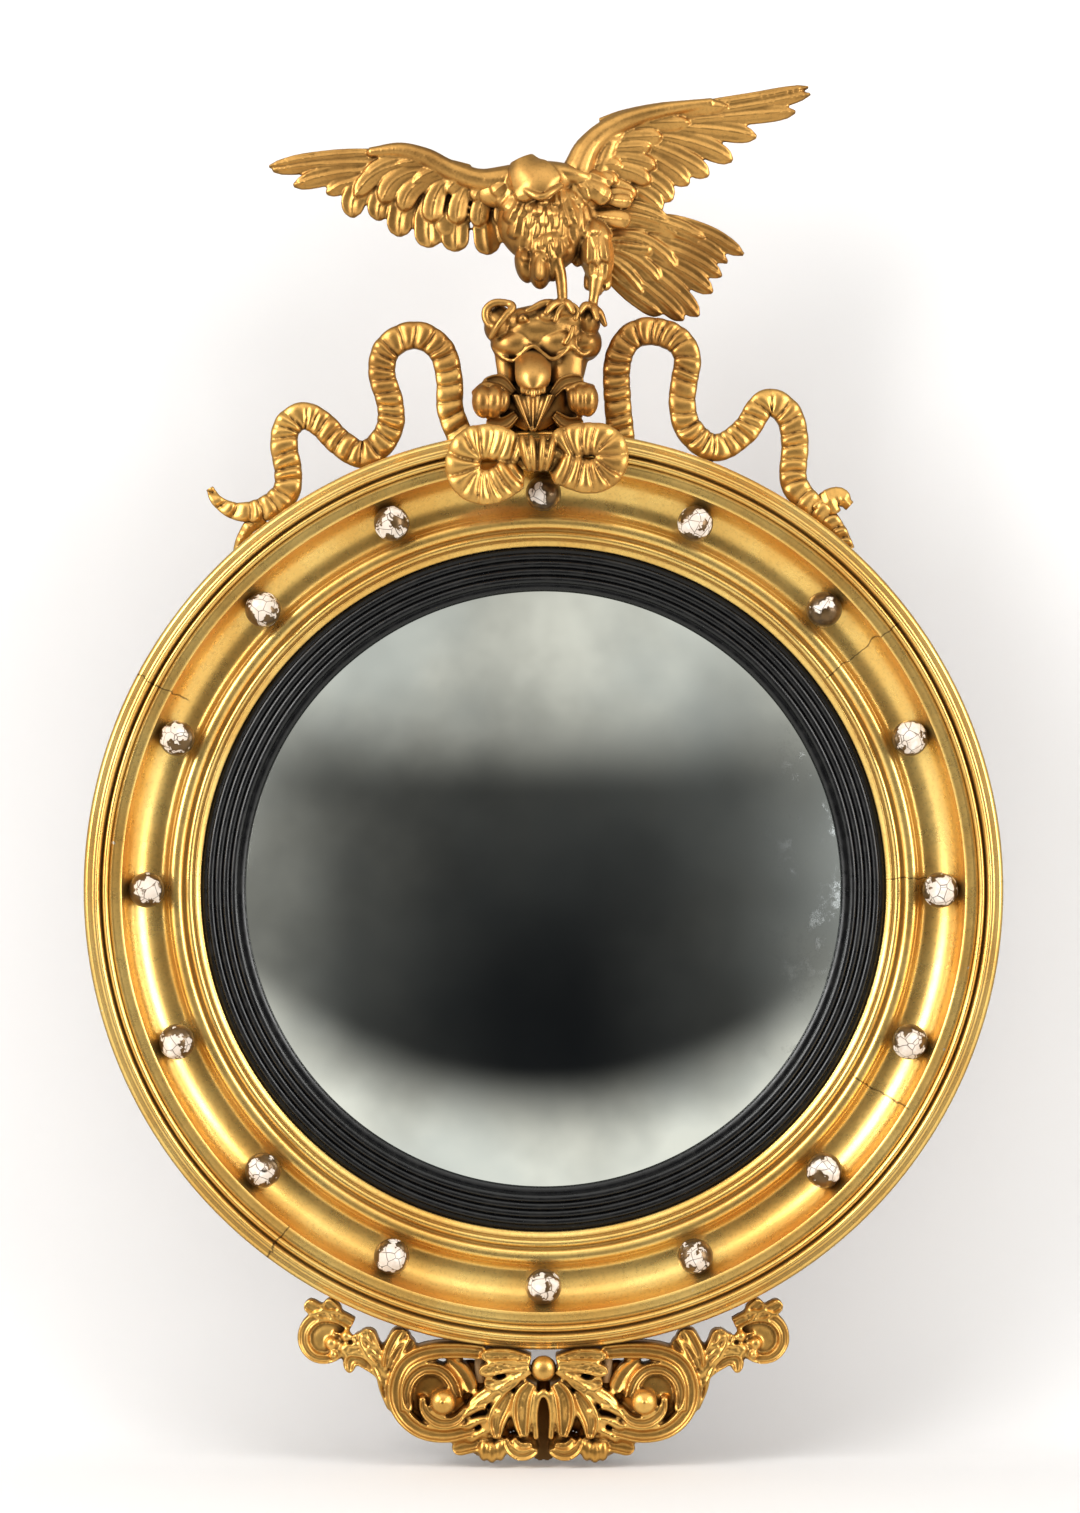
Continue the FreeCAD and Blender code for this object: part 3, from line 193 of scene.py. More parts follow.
soft_box("left_box", (-2.5, -2.0, 1.2), (1.5, 2.4), 104)
soft_box("right_box", (2.6, -1.8, 0.8), (1.3, 2.2), 72)
soft_box("top_box", (0.1, -1.7, 2.5), (2.6, 1.4), 12)

camera_data = bpy.data.cameras.new("camera")
camera_data.sensor_fit = "HORIZONTAL"
camera_data.sensor_width = 36
camera_data.lens = 131.07
camera = bpy.data.objects.new("camera", camera_data)
bpy.context.scene.collection.objects.link(camera)
camera.location = (-0.0026, -3.0, 0.1)
camera.rotation_euler = (math.radians(90), 0, 0)
bpy.context.scene.camera = camera
bpy.context.scene.view_settings.view_transform = "Standard"


# ---------------------------------------------------------------- the back
# The backing ring and the three planks of the backboard are sawn pine, left bare and
# gone brown. Grain lines run up the boards, about 3 mm apart, with the odd darker streak.
def new_finish(name):
    """A new material, its tree, and the place on the piece that its patterns follow."""
    material, tree = new_material(name)
    return material, tree, add(tree, "ShaderNodeTexCoord").outputs["Object"]


def relief(tree, height, strength, depth):
    """Fine relief from a height, its depth in mm."""
    feeds = {"Height": height, "Strength": strength, "Distance": depth * MM}
    return add(tree, "ShaderNodeBump", feeds).outputs[0]


def surface(tree, feeds):
    """Ends a material with its surface, fed with colour, roughness, metal and relief."""
    shader = add(tree, "ShaderNodeBsdfPrincipled", feeds)
    add(tree, "ShaderNodeOutputMaterial", {"Surface": shader.outputs[0]})


def pine(name, light, dark, grain):
    """Bare wood: lines drawn out along the grain, with faint brown stains."""
    material, tree, spot = new_finish(name)
    drawn = add(tree, "ShaderNodeMapping", {"Vector": spot, "Scale": grain}).outputs[0]
    lines = noise_on(tree, drawn, 60.0, 6.0, distortion=0.4)
    stains = noise_on(tree, spot, 9.0, 3.0)
    wood = blend_colours(tree, stretch(tree, lines, 0.35, 0.68), colour(light), colour(dark))
    aged = blend_colours(tree, stretch(tree, stains, 0.45, 0.75, 0.0, 0.45), wood, colour("#3a2717"))
    ridges = relief(tree, lines, 0.35, 0.6)
    surface(tree, {"Base Color": aged, "Roughness": 0.78, "Normal": ridges})
    return material


def dress(node, material):
    """Gives a piece of the model its material."""
    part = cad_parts[node]
    part.data.materials.clear()
    part.data.materials.append(material)


old_pine = pine("old_sawn_pine", "#9a7347", "#6b4a2b", (6.0, 6.0, 0.35))
cross_pine = pine("pine_ring_segments", "#8b6740", "#5f4226", (1.2, 6.0, 5.0))
dress("backing_ring", cross_pine)
for plank in (1, 2, 3):
    dress(f"backboard_plank_{plank}", old_pine)
dress("packing_wedges", old_pine)

# Cut nails, brads and screws are iron, forged or rolled, dull brown with rust that the
# wood's damp has raised in spots about 1 mm across.
iron, tree, spot = new_finish("rusty_forged_iron")
pits = noise_on(tree, spot, 900.0, 4.0)
skin = blend_colours(tree, stretch(tree, pits, 0.42, 0.62), colour("#3b3430"), colour("#6b3f25"))
rough = stretch(tree, pits, 0.3, 0.7, 0.45, 0.85)
dents = relief(tree, pits, 0.4, 0.3)
surface(tree, {"Base Color": skin, "Metallic": 0.8, "Roughness": rough, "Normal": dents})
for node in ("backboard_nails", "ball_brads", "carving_pins", "hanger_screws"):
    dress(node, iron)

# Birch dowels, turned and left bare inside the joints of crest and apron.
birch = pine("bare_birch", "#c9a678", "#a98758", (4.0, 0.4, 0.4))
dress("crest_dowels", birch)
dress("apron_dowels", birch)

# The hanging loops and their straps are rolled and cast brass, dulled to a brown bloom
# with brighter metal where the loops rub.
brass, tree, spot = new_finish("dull_cast_brass")
bloom = noise_on(tree, spot, 260.0, 5.0)
metal = blend_colours(tree, stretch(tree, bloom, 0.38, 0.66), colour("#b48a45"), colour("#6e5228"))
rough = stretch(tree, bloom, 0.3, 0.7, 0.3, 0.55)
surface(tree, {"Base Color": metal, "Metallic": 1.0, "Roughness": rough})
for side in ("left", "right"):
    dress(f"{side}_hanger_strap", brass)
    dress(f"{side}_hanger_loop", brass)


# ---------------------------------------------------------------- the gilt ring
# Turned in the round, coated with gesso and red-brown bole, then water gilded and
# burnished. It is rubbed through to the bole along its arrises, darkened in its quirks
# with toner and painted shade, and cracked across at the joints of the segments that it
# was glued up from.
def turned(name, profile, material, steps, height=0.0):
    """A profile of (radius, depth) points, spun about an axis out of the wall; all in mm."""
    bm = bmesh.new()
    verts = [bm.verts.new(Vector((radius, -depth, 0)) * MM) for radius, depth in profile]
    edges = [bm.edges.new(pair) for pair in zip(verts, verts[1:])]
    if profile[0][0] > 1:
        edges.append(bm.edges.new((verts[-1], verts[0])))
    bmesh.ops.spin(
        bm, geom=verts + edges, cent=(0, 0, 0), axis=(0, 1, 0), angle=math.tau, steps=steps, use_merge=True,
    )
    bmesh.ops.remove_doubles(bm, verts=bm.verts, dist=1e-6)
    bmesh.ops.translate(bm, verts=bm.verts, vec=(0, 0, height * MM))
    return finished(bm, name, material)


def arc(centre, radii, first, last, count):
    """Points along part of an ellipse of (radius, depth), from one angle to another."""
    turns = [math.radians(first + (last - first) * step / count) for step in range(count + 1)]
    return [(centre[0] + radii[0] * math.cos(t), centre[1] + radii[1] * math.sin(t)) for t in turns]


def gilding(name, bright, deep, toner_and_shade, bole, worn, hollow_shading, rough, metal, cracked=False, ground=None):
    """Gold leaf over bole: mottled gold, rubbed places, toner and painted shade in hollows.

    worn is where rubbing starts and ends on a ridge, and where a patch is bare; the hollow
    settings are how far a hollow reaches in mm, its darkest and lightest shade, its strength,
    and that of the valleys, for toner darkened further as painted shade in hollows and
    valleys; rough is the range of roughness, and ground a range of depths in mm beyond which
    the surface is darkened as painted shade on a recessed ground.
    """
    reach, darkest, lightest, strength, valley_shade = hollow_shading
    material, tree, spot = new_finish(name)
    clouds = noise_on(tree, spot, 14.0, 4.0)
    fine = noise_on(tree, spot, 420.0, 4.0, 0.65)
    patches = noise_on(tree, spot, 55.0, 8.0, 0.7)
    gold = blend_colours(tree, stretch(tree, clouds, 0.32, 0.7), colour(bright), colour(deep))
    gold = blend_colours(tree, stretch(tree, fine, 0.45, 0.8, 0.0, 0.3), gold, colour(toner_and_shade))
    # Painted shade with toner: the toner colour is laid into hollows found by ambient occlusion and into
    # valleys found by pointiness, darkening creases as shade would.
    hollow = add(tree, "ShaderNodeAmbientOcclusion", {"Distance": reach * MM}, samples=8).outputs["AO"]
    ridge = add(tree, "ShaderNodeNewGeometry").outputs["Pointiness"]
    valley = sum_up(tree, "MULTIPLY", stretch(tree, ridge, 0.43, 0.492, 1.0, 0.0), valley_shade)
    toner_and_shade_mask = sum_up(tree, "MAXIMUM", stretch(tree, hollow, darkest, lightest, 1.0, 0.0), valley)
    # Painted shade: on a piece with a ground, all that lies deeper than its depths is darkened like a recess
    # in shade.
    if ground:
        depth = add(tree, "ShaderNodeSeparateXYZ", {0: spot}).outputs["Y"]
        toner_and_shade_mask = sum_up(tree, "MAXIMUM", toner_and_shade_mask, stretch(tree, depth, -ground[1] * MM, -ground[0] * MM))
    gold = blend_colours(tree, sum_up(tree, "MULTIPLY", toner_and_shade_mask, strength), gold, colour(toner_and_shade))
    rubbed = stretch(tree, ridge, worn[0], worn[1])
    rubbed = sum_up(tree, "MULTIPLY", rubbed, stretch(tree, patches, 0.48, 0.62))
    rubbed = sum_up(tree, "MAXIMUM", rubbed, stretch(tree, patches, worn[2], worn[2] + 0.04))
    gold = blend_colours(tree, sum_up(tree, "MULTIPLY", rubbed, 0.8), gold, colour(bole))
    metallic = stretch(tree, rubbed, 0.0, 1.0, metal, 0.1)
    shine = stretch(tree, patches, 0.3, 0.7, rough[0], rough[1])
    shine = sum_up(tree, "ADD", shine, sum_up(tree, "MULTIPLY", toner_and_shade_mask, 0.22))
    height = sum_up(tree, "ADD", sum_up(tree, "MULTIPLY", fine, 0.15), patches)
    if cracked:
        gold, height = segment_cracks(tree, spot, gold, height)
    grain = relief(tree, height, 0.10, 0.9)
    feeds = {"Base Color": gold, "Metallic": metallic, "Roughness": shine, "Normal": grain}
    surface(tree, feeds)
    return material


def segment_cracks(tree, spot, gold, height):
    """Hairline cracks across the ring where its segments were glued, and white chips."""
    wobble = add(tree, "ShaderNodeTexNoise", {"Vector": spot, "Scale": 45.0, "Detail": 3.0}).outputs["Color"]
    middle_grey = (0.5, 0.5, 0.5)
    shifted = add(tree, "ShaderNodeVectorMath", {0: wobble, 1: middle_grey}, operation="SUBTRACT").outputs[0]
    shifted = add(tree, "ShaderNodeVectorMath", {0: shifted, "Scale": 0.012}, operation="SCALE").outputs[0]
    moved = add(tree, "ShaderNodeVectorMath", {0: spot, 1: shifted}, operation="ADD").outputs[0]
    axes = add(tree, "ShaderNodeSeparateXYZ", {0: moved})
    angle = sum_up(tree, "ARCTAN2", axes.outputs["X"], axes.outputs["Z"])
    flat = add(tree, "ShaderNodeCombineXYZ", {0: axes.outputs["X"], 2: axes.outputs["Z"]}).outputs[0]
    reach = add(tree, "ShaderNodeVectorMath", {0: flat}, operation="LENGTH").outputs["Value"]
    joints = (
        (-143, 0.312, 0.352), (88.4, 0.258, 0.3), (53, 0.262, 0.33), (-62, 0.3, 0.345), (121, 0.27, 0.318),
    )
    cracks = 0.0
    for turn, inner, outer in joints:
        away = sum_up(tree, "ABSOLUTE", sum_up(tree, "SUBTRACT", angle, math.radians(turn)))
        line = stretch(tree, away, 0.0009, 0.0030, 1.0, 0.0)
        line = sum_up(tree, "MULTIPLY", line, stretch(tree, reach, inner, inner + 0.004))
        line = sum_up(tree, "MULTIPLY", line, stretch(tree, reach, outer, outer + 0.004, 1.0, 0.0))
        cracks = sum_up(tree, "MAXIMUM", cracks, line)
    gold = blend_colours(tree, sum_up(tree, "MULTIPLY", cracks, 0.75), gold, colour("#4a2c16"))
    chips = noise_on(tree, spot, 95.0, 2.0)
    rim = sum_up(tree, "MULTIPLY", stretch(tree, chips, 0.765, 0.785), stretch(tree, reach, 0.315, 0.325))
    gold = blend_colours(tree, rim, gold, colour("#efe8dc"))
    return gold, sum_up(tree, "SUBTRACT", height, sum_up(tree, "MULTIPLY", cracks, 1.5))


ring_gilding = gilding(
    "burnished_water_gilding", "#fbd47e", "#edba62", "#714818", "#7b3f22",
    worn=(0.53, 0.6, 0.74), hollow_shading=(4.0, 0.25, 0.9, 0.72, 0.5), rough=(0.25, 0.34), metal=0.84, cracked=True,
)
# From the back round to the sight edge: edge bead, hollow, half-round, bead, sloped band,
# cove, step, torus, small bead and lip, with fine quirks between them.
ring_profile = [(264.5, 22), (338.4, 22), (339, 22.6), (339, 44.4)]
ring_profile += arc((340.5, 50), (4.5, 5.3), -100, 82, 14)
ring_profile += arc((344.6, 63.2), (6.8, 8.2), -122, -178, 7)
ring_profile += [(336.9, 63.4), (336.0, 64.2)]
ring_profile += arc((333.1, 66), (2.5, 6.0), -20, 200, 16)
ring_profile += [(330.1, 64.9)]
ring_profile += arc((327.15, 66), (2.35, 3.6), -15, 195, 12)
ring_profile += [(324.45, 64.8), (324.0, 65.9), (321, 65.3), (317.5, 64.1), (315.2, 64.0), (315.0, 63.7)]
ring_profile += arc((289.5, 61.5), (25.5, 25.5), 0, -90, 26)
ring_profile += arc((289.5, 43.78), (7.78, 7.78), -96, -148, 8)
ring_profile += [(282.4, 40.2), (281.7, 40.3)]
ring_profile += arc((276.6, 40.5), (5.0, 3.6), 0, 180, 14)
ring_profile += [(270.9, 39.4), (269.9, 39.4)]
ring_profile += arc((266.7, 40.5), (2.5, 2.4), 0, 180, 10)
ring_profile += [(263.7, 39.4), (262.9, 39.4), (262.4, 40.4), (262.0, 40.4)]
ring_profile += [(258.6, 37.9), (258.3, 37.4), (258.3, 34), (264.5, 34)]
gilt_ring = turned("gilt_ring_turned", ring_profile, ring_gilding, 420)
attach(gilt_ring, "mirror")
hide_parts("gilt_ring")

# ---------------------------------------------------------------- the reeded slip
# A thinner ring, turned with four reeds and a bevel, ebonised and rubbed to a satin
# black that shows brown at the rubbed crests.
ebony, tree, spot = new_finish("ebonised_wood")
scuffs = noise_on(tree, spot, 120.0, 6.0)
black = blend_colours(tree, stretch(tree, scuffs, 0.5, 0.8, 0.0, 0.5), colour("#0b0b0d"), colour("#1b1917"))
rough = stretch(tree, scuffs, 0.3, 0.7, 0.24, 0.38)
nap = relief(tree, scuffs, 0.03, 0.4)
surface(tree, {"Base Color": black, "Roughness": rough, "Normal": nap})

reed_count = 4
reed_pitch = 5.8
outer_reed = 251.1
slip_profile = [(236.5, 22.3), (264.0, 22.3), (264.0, 33.9), (254.2, 33.9)]
for reed in range(reed_count):
    middle = outer_reed - reed_pitch * reed
    slip_profile += arc((middle, 34.0), (2.75, 2.6), 0, 180, 12)
    slip_profile.append((middle - reed_pitch / 2, 33.7))
slip_profile += [(230.4, 34.0), (228.0, 33.6), (226.0, 32.8), (225.5, 32.2), (225.5, 31.0), (236.5, 26.6)]
slip = turned("reeded_slip_turned", slip_profile, ebony, 320)
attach(slip, "mirror")
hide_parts("reeded_slip")

# ---------------------------------------------------------------- the glass
# Domed glass, silvered behind, 3 mm thick. The silvering is grey and a little hazy, and
# it is foxed along the right-hand edge, in blotches of 4 to 12 mm.
silver, tree, spot = new_finish("old_silvered_glass")
haze = noise_on(tree, spot, 7.0, 5.0)
blotch = noise_on(tree, spot, 38.0, 9.0, 0.72)
axes = add(tree, "ShaderNodeSeparateXYZ", {0: spot})
edge = stretch(tree, axes.outputs["X"], 0.150, 0.222)
foxed = sum_up(tree, "MULTIPLY", edge, stretch(tree, blotch, 0.50, 0.66))
tint = blend_colours(tree, stretch(tree, haze, 0.3, 0.7), colour("#e9ebe6"), colour("#d3d9d9"))
tint = blend_colours(tree, sum_up(tree, "MULTIPLY", foxed, 0.65), tint, colour("#4a4b4a"))
rough = sum_up(tree, "ADD", stretch(tree, haze, 0.3, 0.8, 0.03, 0.10), sum_up(tree, "MULTIPLY", foxed, 0.25))
feeds = {"Base Color": tint, "Metallic": 1.0, "Roughness": rough}
feeds.update({"Coat Weight": 0.4, "Coat Roughness": 0.02})
surface(tree, feeds)

glass_radius = 235.5
dome_radius = 809.8
dome_front = 62.7
glass_thickness = 3.0
glass_steps = 40
glass_profile = []
for crown, steps in (
    (dome_front, range(glass_steps + 1)),
    (dome_front - glass_thickness, range(glass_steps, -1, -4)),
):
    for step in steps:
        radius = glass_radius * step / glass_steps
        glass_profile.append((radius, crown - dome_radius + math.sqrt(dome_radius**2 - radius**2)))
glass = turned("domed_glass", glass_profile, silver, 240)
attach(glass, "mirror")
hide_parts("mirror_glass")

# ---------------------------------------------------------------- the balls
# Sixteen turned balls, each pinned to the slope of the cove. Their dark toned paint has
# flaked off the white gesso in front, in curled flakes of 3 to 8 mm; two are nearly whole.
def ball_finish(name, low, high):
    """Dark paint flaked off white gesso, more so towards the front of each ball."""
    material, tree, spot = new_finish(name)
    depth = add(tree, "ShaderNodeSeparateXYZ", {0: spot}).outputs["Y"]
    flakes = noise_on(tree, spot, 84.0, 4.0, 0.55)
    seams = add(tree, "ShaderNodeTexVoronoi", {"Vector": spot, "Scale": 120.0}, feature="DISTANCE_TO_EDGE")
    forward = stretch(tree, depth, -0.0510, -0.0665, -0.14, 0.07)
    bare = stretch(tree, sum_up(tree, "ADD", flakes, forward), low, high)
    bare = sum_up(tree, "MULTIPLY", bare, stretch(tree, seams.outputs["Distance"], 0.0, 0.045))
    paint = blend_colours(tree, stretch(tree, flakes, 0.35, 0.65), colour("#6b5233"), colour("#33261a"))
    gesso = blend_colours(tree, stretch(tree, flakes, 0.5, 0.75), colour("#dccdbd"), colour("#faf3ea"))
    skin = blend_colours(tree, bare, paint, gesso)
    rough = stretch(tree, bare, 0.0, 1.0, 0.28, 0.7)
    metallic = stretch(tree, bare, 0.0, 1.0, 0.55, 0.0)
    feeds = {"Height": bare, "Strength": 0.5, "Distance": 0.5 * MM, "Filter Width": 1.0}
    curled = add(tree, "ShaderNodeBump", feeds, invert=True).outputs[0]
    surface(tree, {"Base Color": skin, "Roughness": rough, "Metallic": metallic, "Normal": curled})
    return material


flaked = ball_finish("flaked_paint_on_gesso", 0.505, 0.52)
whole = ball_finish("dark_toned_paint", 0.60, 0.63)
ball_count = 16
ball_circle = 297.35
ball_depth = 52.7
ball_radius = 13.4
ball_unevenness = 0.22
nearly_whole = (0, 2)
bm = bmesh.new()
for place in range(ball_count):
    turn = math.tau * place / ball_count
    centre = Vector((ball_circle * math.sin(turn), -ball_depth, ball_circle * math.cos(turn))) * MM
    seat = Matrix.Translation(centre)
    made = bmesh.ops.create_icosphere(bm, subdivisions=4, radius=ball_radius * MM, matrix=seat)
    for vert in made["verts"]:
        vert.co += (vert.co - centre).normalized() * noise.noise(vert.co * 190) * ball_unevenness * MM
    for face in {f for v in made["verts"] for f in v.link_faces}:
        face.material_index = 1 if place in nearly_whole else 0
balls = finished(bm, "cove_balls_flaked", flaked)
balls.data.materials.append(whole)
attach(balls, "mirror")
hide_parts("cove_balls")

# ---------------------------------------------------------------- the pleated ribbons
# Each ribbon is carved in limewood about 12 mm thick as one run of soft pleats, some
# 10 mm apart, from under the bow to its curled tail. It is gilded like the eagle, over
# bole, and left unburnished, with brown toner and painted shade lying in the pleats.
carved_gilding = gilding(
    "toned_shaded_oil_gilding", "#e0ae5e", "#b28040", "#3c240f", "#6f3d20",
    worn=(0.56, 0.66, 0.72), hollow_shading=(6.0, 0.44, 0.99, 0.94, 0.95), rough=(0.28, 0.42), metal=0.84,
)


def smooth_route(points):
    """A smooth line through points in mm, and the length of the line up to each of its places."""
    knots = [Vector(p) for p in points]
    line = []
    for place in range(len(knots) - 1):
        start, end = knots[place], knots[place + 1]
        reach = (end - start).length / 3
        before = knots[place - 1] if place else start
        after = knots[min(place + 2, len(knots) - 1)]
        out_way = (end - before).normalized() * reach
        in_way = (after - start).normalized() * reach
        line += geometry.interpolate_bezier(start, start + out_way, end - in_way, end, 24)[:-1]
    line.append(knots[-1])
    lengths = [0.0]
    for first, second in zip(line, line[1:]):
        lengths.append(lengths[-1] + (second - first).length)
    return line, lengths


def along_route(route, share):
    """The place and the crossways direction at a share of a route's length."""
    line, lengths = route
    target = share * lengths[-1]
    low, high = 0, len(lengths) - 1
    while high - low > 1:
        middle = (low + high) // 2
        if lengths[middle] <= target:
            low = middle
        else:
            high = middle
    run = max(lengths[high] - lengths[low], 1e-9)
    spot = line[low].lerp(line[high], (target - lengths[low]) / run)
    ahead = line[min(high + 2, len(line) - 1)] - line[max(low - 2, 0)]
    way = ahead.normalized()
    return spot, Vector((-way.y, way.x))


def strip(bm, points, along, across, half, front, back, ground=None):
    """One carved strip: a grid laid along a route, crowned in front and cut flat behind.

    half(t) is its half width, front(t, u) the depth of its face and back the depth of
    its flat back, all in mm; t runs along it from 0 to 1 and u across it from -1 to 1.
    Over a ground(x, h), a rounded form that it lies on, front is what it stands proud.
    """
    route = smooth_route(points)
    made = bmesh.ops.create_grid(bm, x_segments=along, y_segments=across, size=1.0)
    shares = {vert: ((vert.co.x + 1) / 2, vert.co.y) for vert in made["verts"]}
    stations = {}
    for vert, (t, u) in shares.items():
        key = round(t, 5)
        if key not in stations:
            stations[key] = along_route(route, t)
        spot, side = stations[key]
        flat = spot + side * half(t) * u
        level = ground(flat.x, flat.y) if ground else 0.0
        vert.co = Vector((flat.x, -level - front(t, u), flat.y)) * MM
    faces = list(dict.fromkeys(face for vert in made["verts"] for face in vert.link_faces))
    raised = bmesh.ops.extrude_face_region(bm, geom=faces, use_keep_orig=True)
    for item in raised["geom"]:
        if isinstance(item, bmesh.types.BMVert):
            item.co.y = -back * MM


def pleats(length, pitch, seed):
    """A pleat profile along a length: rounded folds with sharp valleys, unevenly spaced."""
    chance = random.Random(seed)
    valleys = [0.0]
    while valleys[-1] < length:
        valleys.append(valleys[-1] + pitch * chance.uniform(0.72, 1.3))
    depths = [chance.uniform(0.65, 1.15) for valley in valleys]

    def fold(run):
        run = min(max(run, 0.0), length)
        place = max(index for index, valley in enumerate(valleys) if valley <= run)
        place = min(place, len(valleys) - 2)
        share = (run - valleys[place]) / (valleys[place + 1] - valleys[place])
        return depths[place] * math.sin(math.pi * min(max(share, 0.0), 1.0) ** 0.8) ** 0.55

    return fold


def ribbon(bm, points, width, back, thick, deep, pitch, seed, ends=(0.0, 0.84)):
    """A ruched ribbon along a route, full to its second end share and tapering after it."""
    cuts_a_pleat = 8
    length = smooth_route(points)[1][-1]
    fold = pleats(length, pitch, seed)

    def taper(t):
        lead = min(1.0, 0.55 + 0.45 * t / ends[0]) if ends[0] and t < ends[0] else 1.0
        tail = 1.0 if t < ends[1] else 1.0 - 0.72 * ((t - ends[1]) / (1 - ends[1])) ** 1.3
        return lead * tail

    def half(t):
        return width / 2 * taper(t) * (0.97 + 0.04 * fold(t * length))

    def front(t, u):
        skew = t * length + 1.6 * math.sin(u * 1.4 + t * 9)
        crown = 1 - 0.34 * abs(u) ** 4
        body = thick * (0.45 + 0.55 * taper(t)) - deep
        return back + body * crown + deep * fold(skew) * (0.75 + 0.25 * crown)

    strip(bm, points, int(length / pitch * cuts_a_pleat), 12, half, front, back)


tail_cut = {"width": 20.4, "back": 26.2, "thick": 11.6, "deep": 4.2, "pitch": 9.6}
left_route = (
    (-61.2, 337.8), (-70.3, 361.8), (-71, 384.4), (-77.8, 407.7), (-96.6, 418.2), (-116.9, 409.2),
    (-122.1, 390.4), (-116.1, 367.9), (-115.4, 351.3), (-122.9, 336.3), (-136.6, 328), (-154.4, 337.8),
    (-168, 351.3), (-181.5, 357.3), (-193.5, 349.1), (-195.8, 334), (-192.8, 315.2), (-195, 298.7),
    (-211.5, 286.7), (-231.9, 285.2), (-246.1, 292.7), (-252.1, 302.5),
)
bm = bmesh.new()
ribbon(bm, left_route, seed=5, **tail_cut)
strip(
    bm, ((-212.4, 281.5), (-223, 272.5), (-230.6, 259.6), (-232.8, 249.8)), 20, 6,
    lambda t: 6.5 - 4.5 * t,
    lambda t, u: 34 - 3 * t - 2.5 * abs(u) + 1.2 * math.sin(t * 22), 26.2,
)
left_ribbon = finished(bm, "left_ribbon_carved", carved_gilding)
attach(left_ribbon, "mirror")
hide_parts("left_ribbon")

right_route = (
    (59, 337.8), (56, 367.9), (56, 397.9), (65, 416), (81.5, 421.2), (101.1, 414.5), (108.6, 401.7),
    (106.3, 382.9), (104.8, 366.4), (110.1, 346.8), (129.6, 333.3), (151.4, 345.3), (168.7, 367.1),
    (184.5, 358.8), (189.8, 337.8), (189, 307.7), (198.8, 293.5), (211.5, 283.7), (222.8, 271.7),
    (232.6, 256.6),
)
bm = bmesh.new()
ribbon(bm, right_route, seed=11, **tail_cut)
strip(
    bm, ((202.7, 287.6), (214.8, 291.3), (223.8, 295.1), (231.4, 289.1)), 20, 8,
    lambda t: 4 + 6 * math.sin(math.pi * min(t * 1.1, 1.0)),
    lambda t, u: 36 - 3 * abs(u) + math.sin(t * 18), 26.4,
)
right_ribbon = finished(bm, "right_ribbon_carved", carved_gilding)
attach(right_ribbon, "mirror")
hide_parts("right_ribbon")

# ---------------------------------------------------------------- the rockwork plinth
# One block under the eagle's feet: lumpy rock above a scalloped edge, a smooth drum
# below, and a scroll at the upper left, dowelled to the ring.
# The eagle's gilding lays toner and painted shade into its hollows and valleys.
crest_gilding = gilding(
    "worn_toned_shaded_gilding", "#d3a057", "#986b33", "#38220f", "#6b3c20",
    worn=(0.55, 0.66, 0.71), hollow_shading=(6.0, 0.42, 0.98, 0.90, 0.95), rough=(0.28, 0.42), metal=0.84,
)


def mass(bm, centre, radii, lean=0.0, detail=3):
    """A rounded mass about a centre (x, h, depth), leaned in the plane of the wall."""
    x, h, depth = centre
    turn = Matrix.Rotation(-math.radians(lean), 4, "Y")
    size = Matrix.Diagonal((radii[0] * MM, radii[2] * MM, radii[1] * MM, 1.0))
    fitted = Matrix.Translation(Vector((x, -depth, h)) * MM) @ turn @ size
    return bmesh.ops.create_icosphere(bm, subdivisions=detail, radius=1.0, matrix=fitted)["verts"]


def limb(bm, spots, steps):
    """A rounded limb along a smooth line through (x, h, depth, radius) spots."""
    route = smooth_route([spot[:3] for spot in spots])
    count = steps * (len(spots) - 1)
    for step in range(count + 1):
        centre = along_route(route, step / count)[0]
        place = step / steps
        before = min(int(place), len(spots) - 2)
        radius = spots[before][3] + (spots[before + 1][3] - spots[before][3]) * (place - before)
        mass(bm, centre, (radius, radius, radius), detail=2)


def carved(bm, name, voxel, material, node):
    """Forms run together as one carving and softened as by a scraper; voxel is in mm."""
    piece = finished(bm, name, material)
    remesh = piece.modifiers.new("one_block", "REMESH")
    remesh.mode = "VOXEL"
    remesh.voxel_size = voxel * MM
    remesh.use_smooth_shade = True
    scraper = piece.modifiers.new("scraper", "SMOOTH")
    scraper.factor = 0.5
    scraper.iterations = 1
    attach(piece, "mirror")
    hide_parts(node)


bm = bmesh.new()
for spot, radii in (
    ((0, 427, 38), (39, 13, 21)),
    ((-3, 420, 42), (34, 14, 18)),
    ((-21, 410, 42), (19, 13.5, 18)),
    ((10, 411, 43), (18, 13.5, 18.5)),
    ((31, 411, 37), (13, 12, 18)),
    ((-34, 425, 42), (11, 14, 18)),
    ((34, 427, 40), (9, 12, 18)),
    ((8, 433, 44), (20, 8, 18)),
    ((-32, 431, 50), (8, 8, 6)),
    ((-15.4, 427, 58), (4.5, 4.5, 5)),
    ((2, 429, 57), (6, 5, 6)),
):
    for vert in mass(bm, spot, radii, detail=4):
        vert.co += vert.co.normalized() * noise.noise(vert.co * 95) * 2.6 * MM
for spot, radii in (
    ((-4, 370, 34), (31, 20, 19)),
    ((-4, 358, 36), (27, 18, 20)),
    ((-4, 346.5, 34), (25, 7, 19)),
    ((-24, 358, 42), (14, 13, 13)),
    ((16, 359, 42), (14, 13, 13)),
):
    mass(bm, spot, radii)
strip(
    bm, ((17.5, 406), (16.5, 379)), 14, 12,
    lambda t: 13 - 1.6 * t, lambda t, u: 53 + 5.5 * t - 5 * u * u, 38,
)
strip(
    bm, ((-29, 404), (-27, 380)), 14, 10,
    lambda t: 8 - 1.5 * t, lambda t, u: 50 + 3.5 * t - 4 * u * u, 36,
)
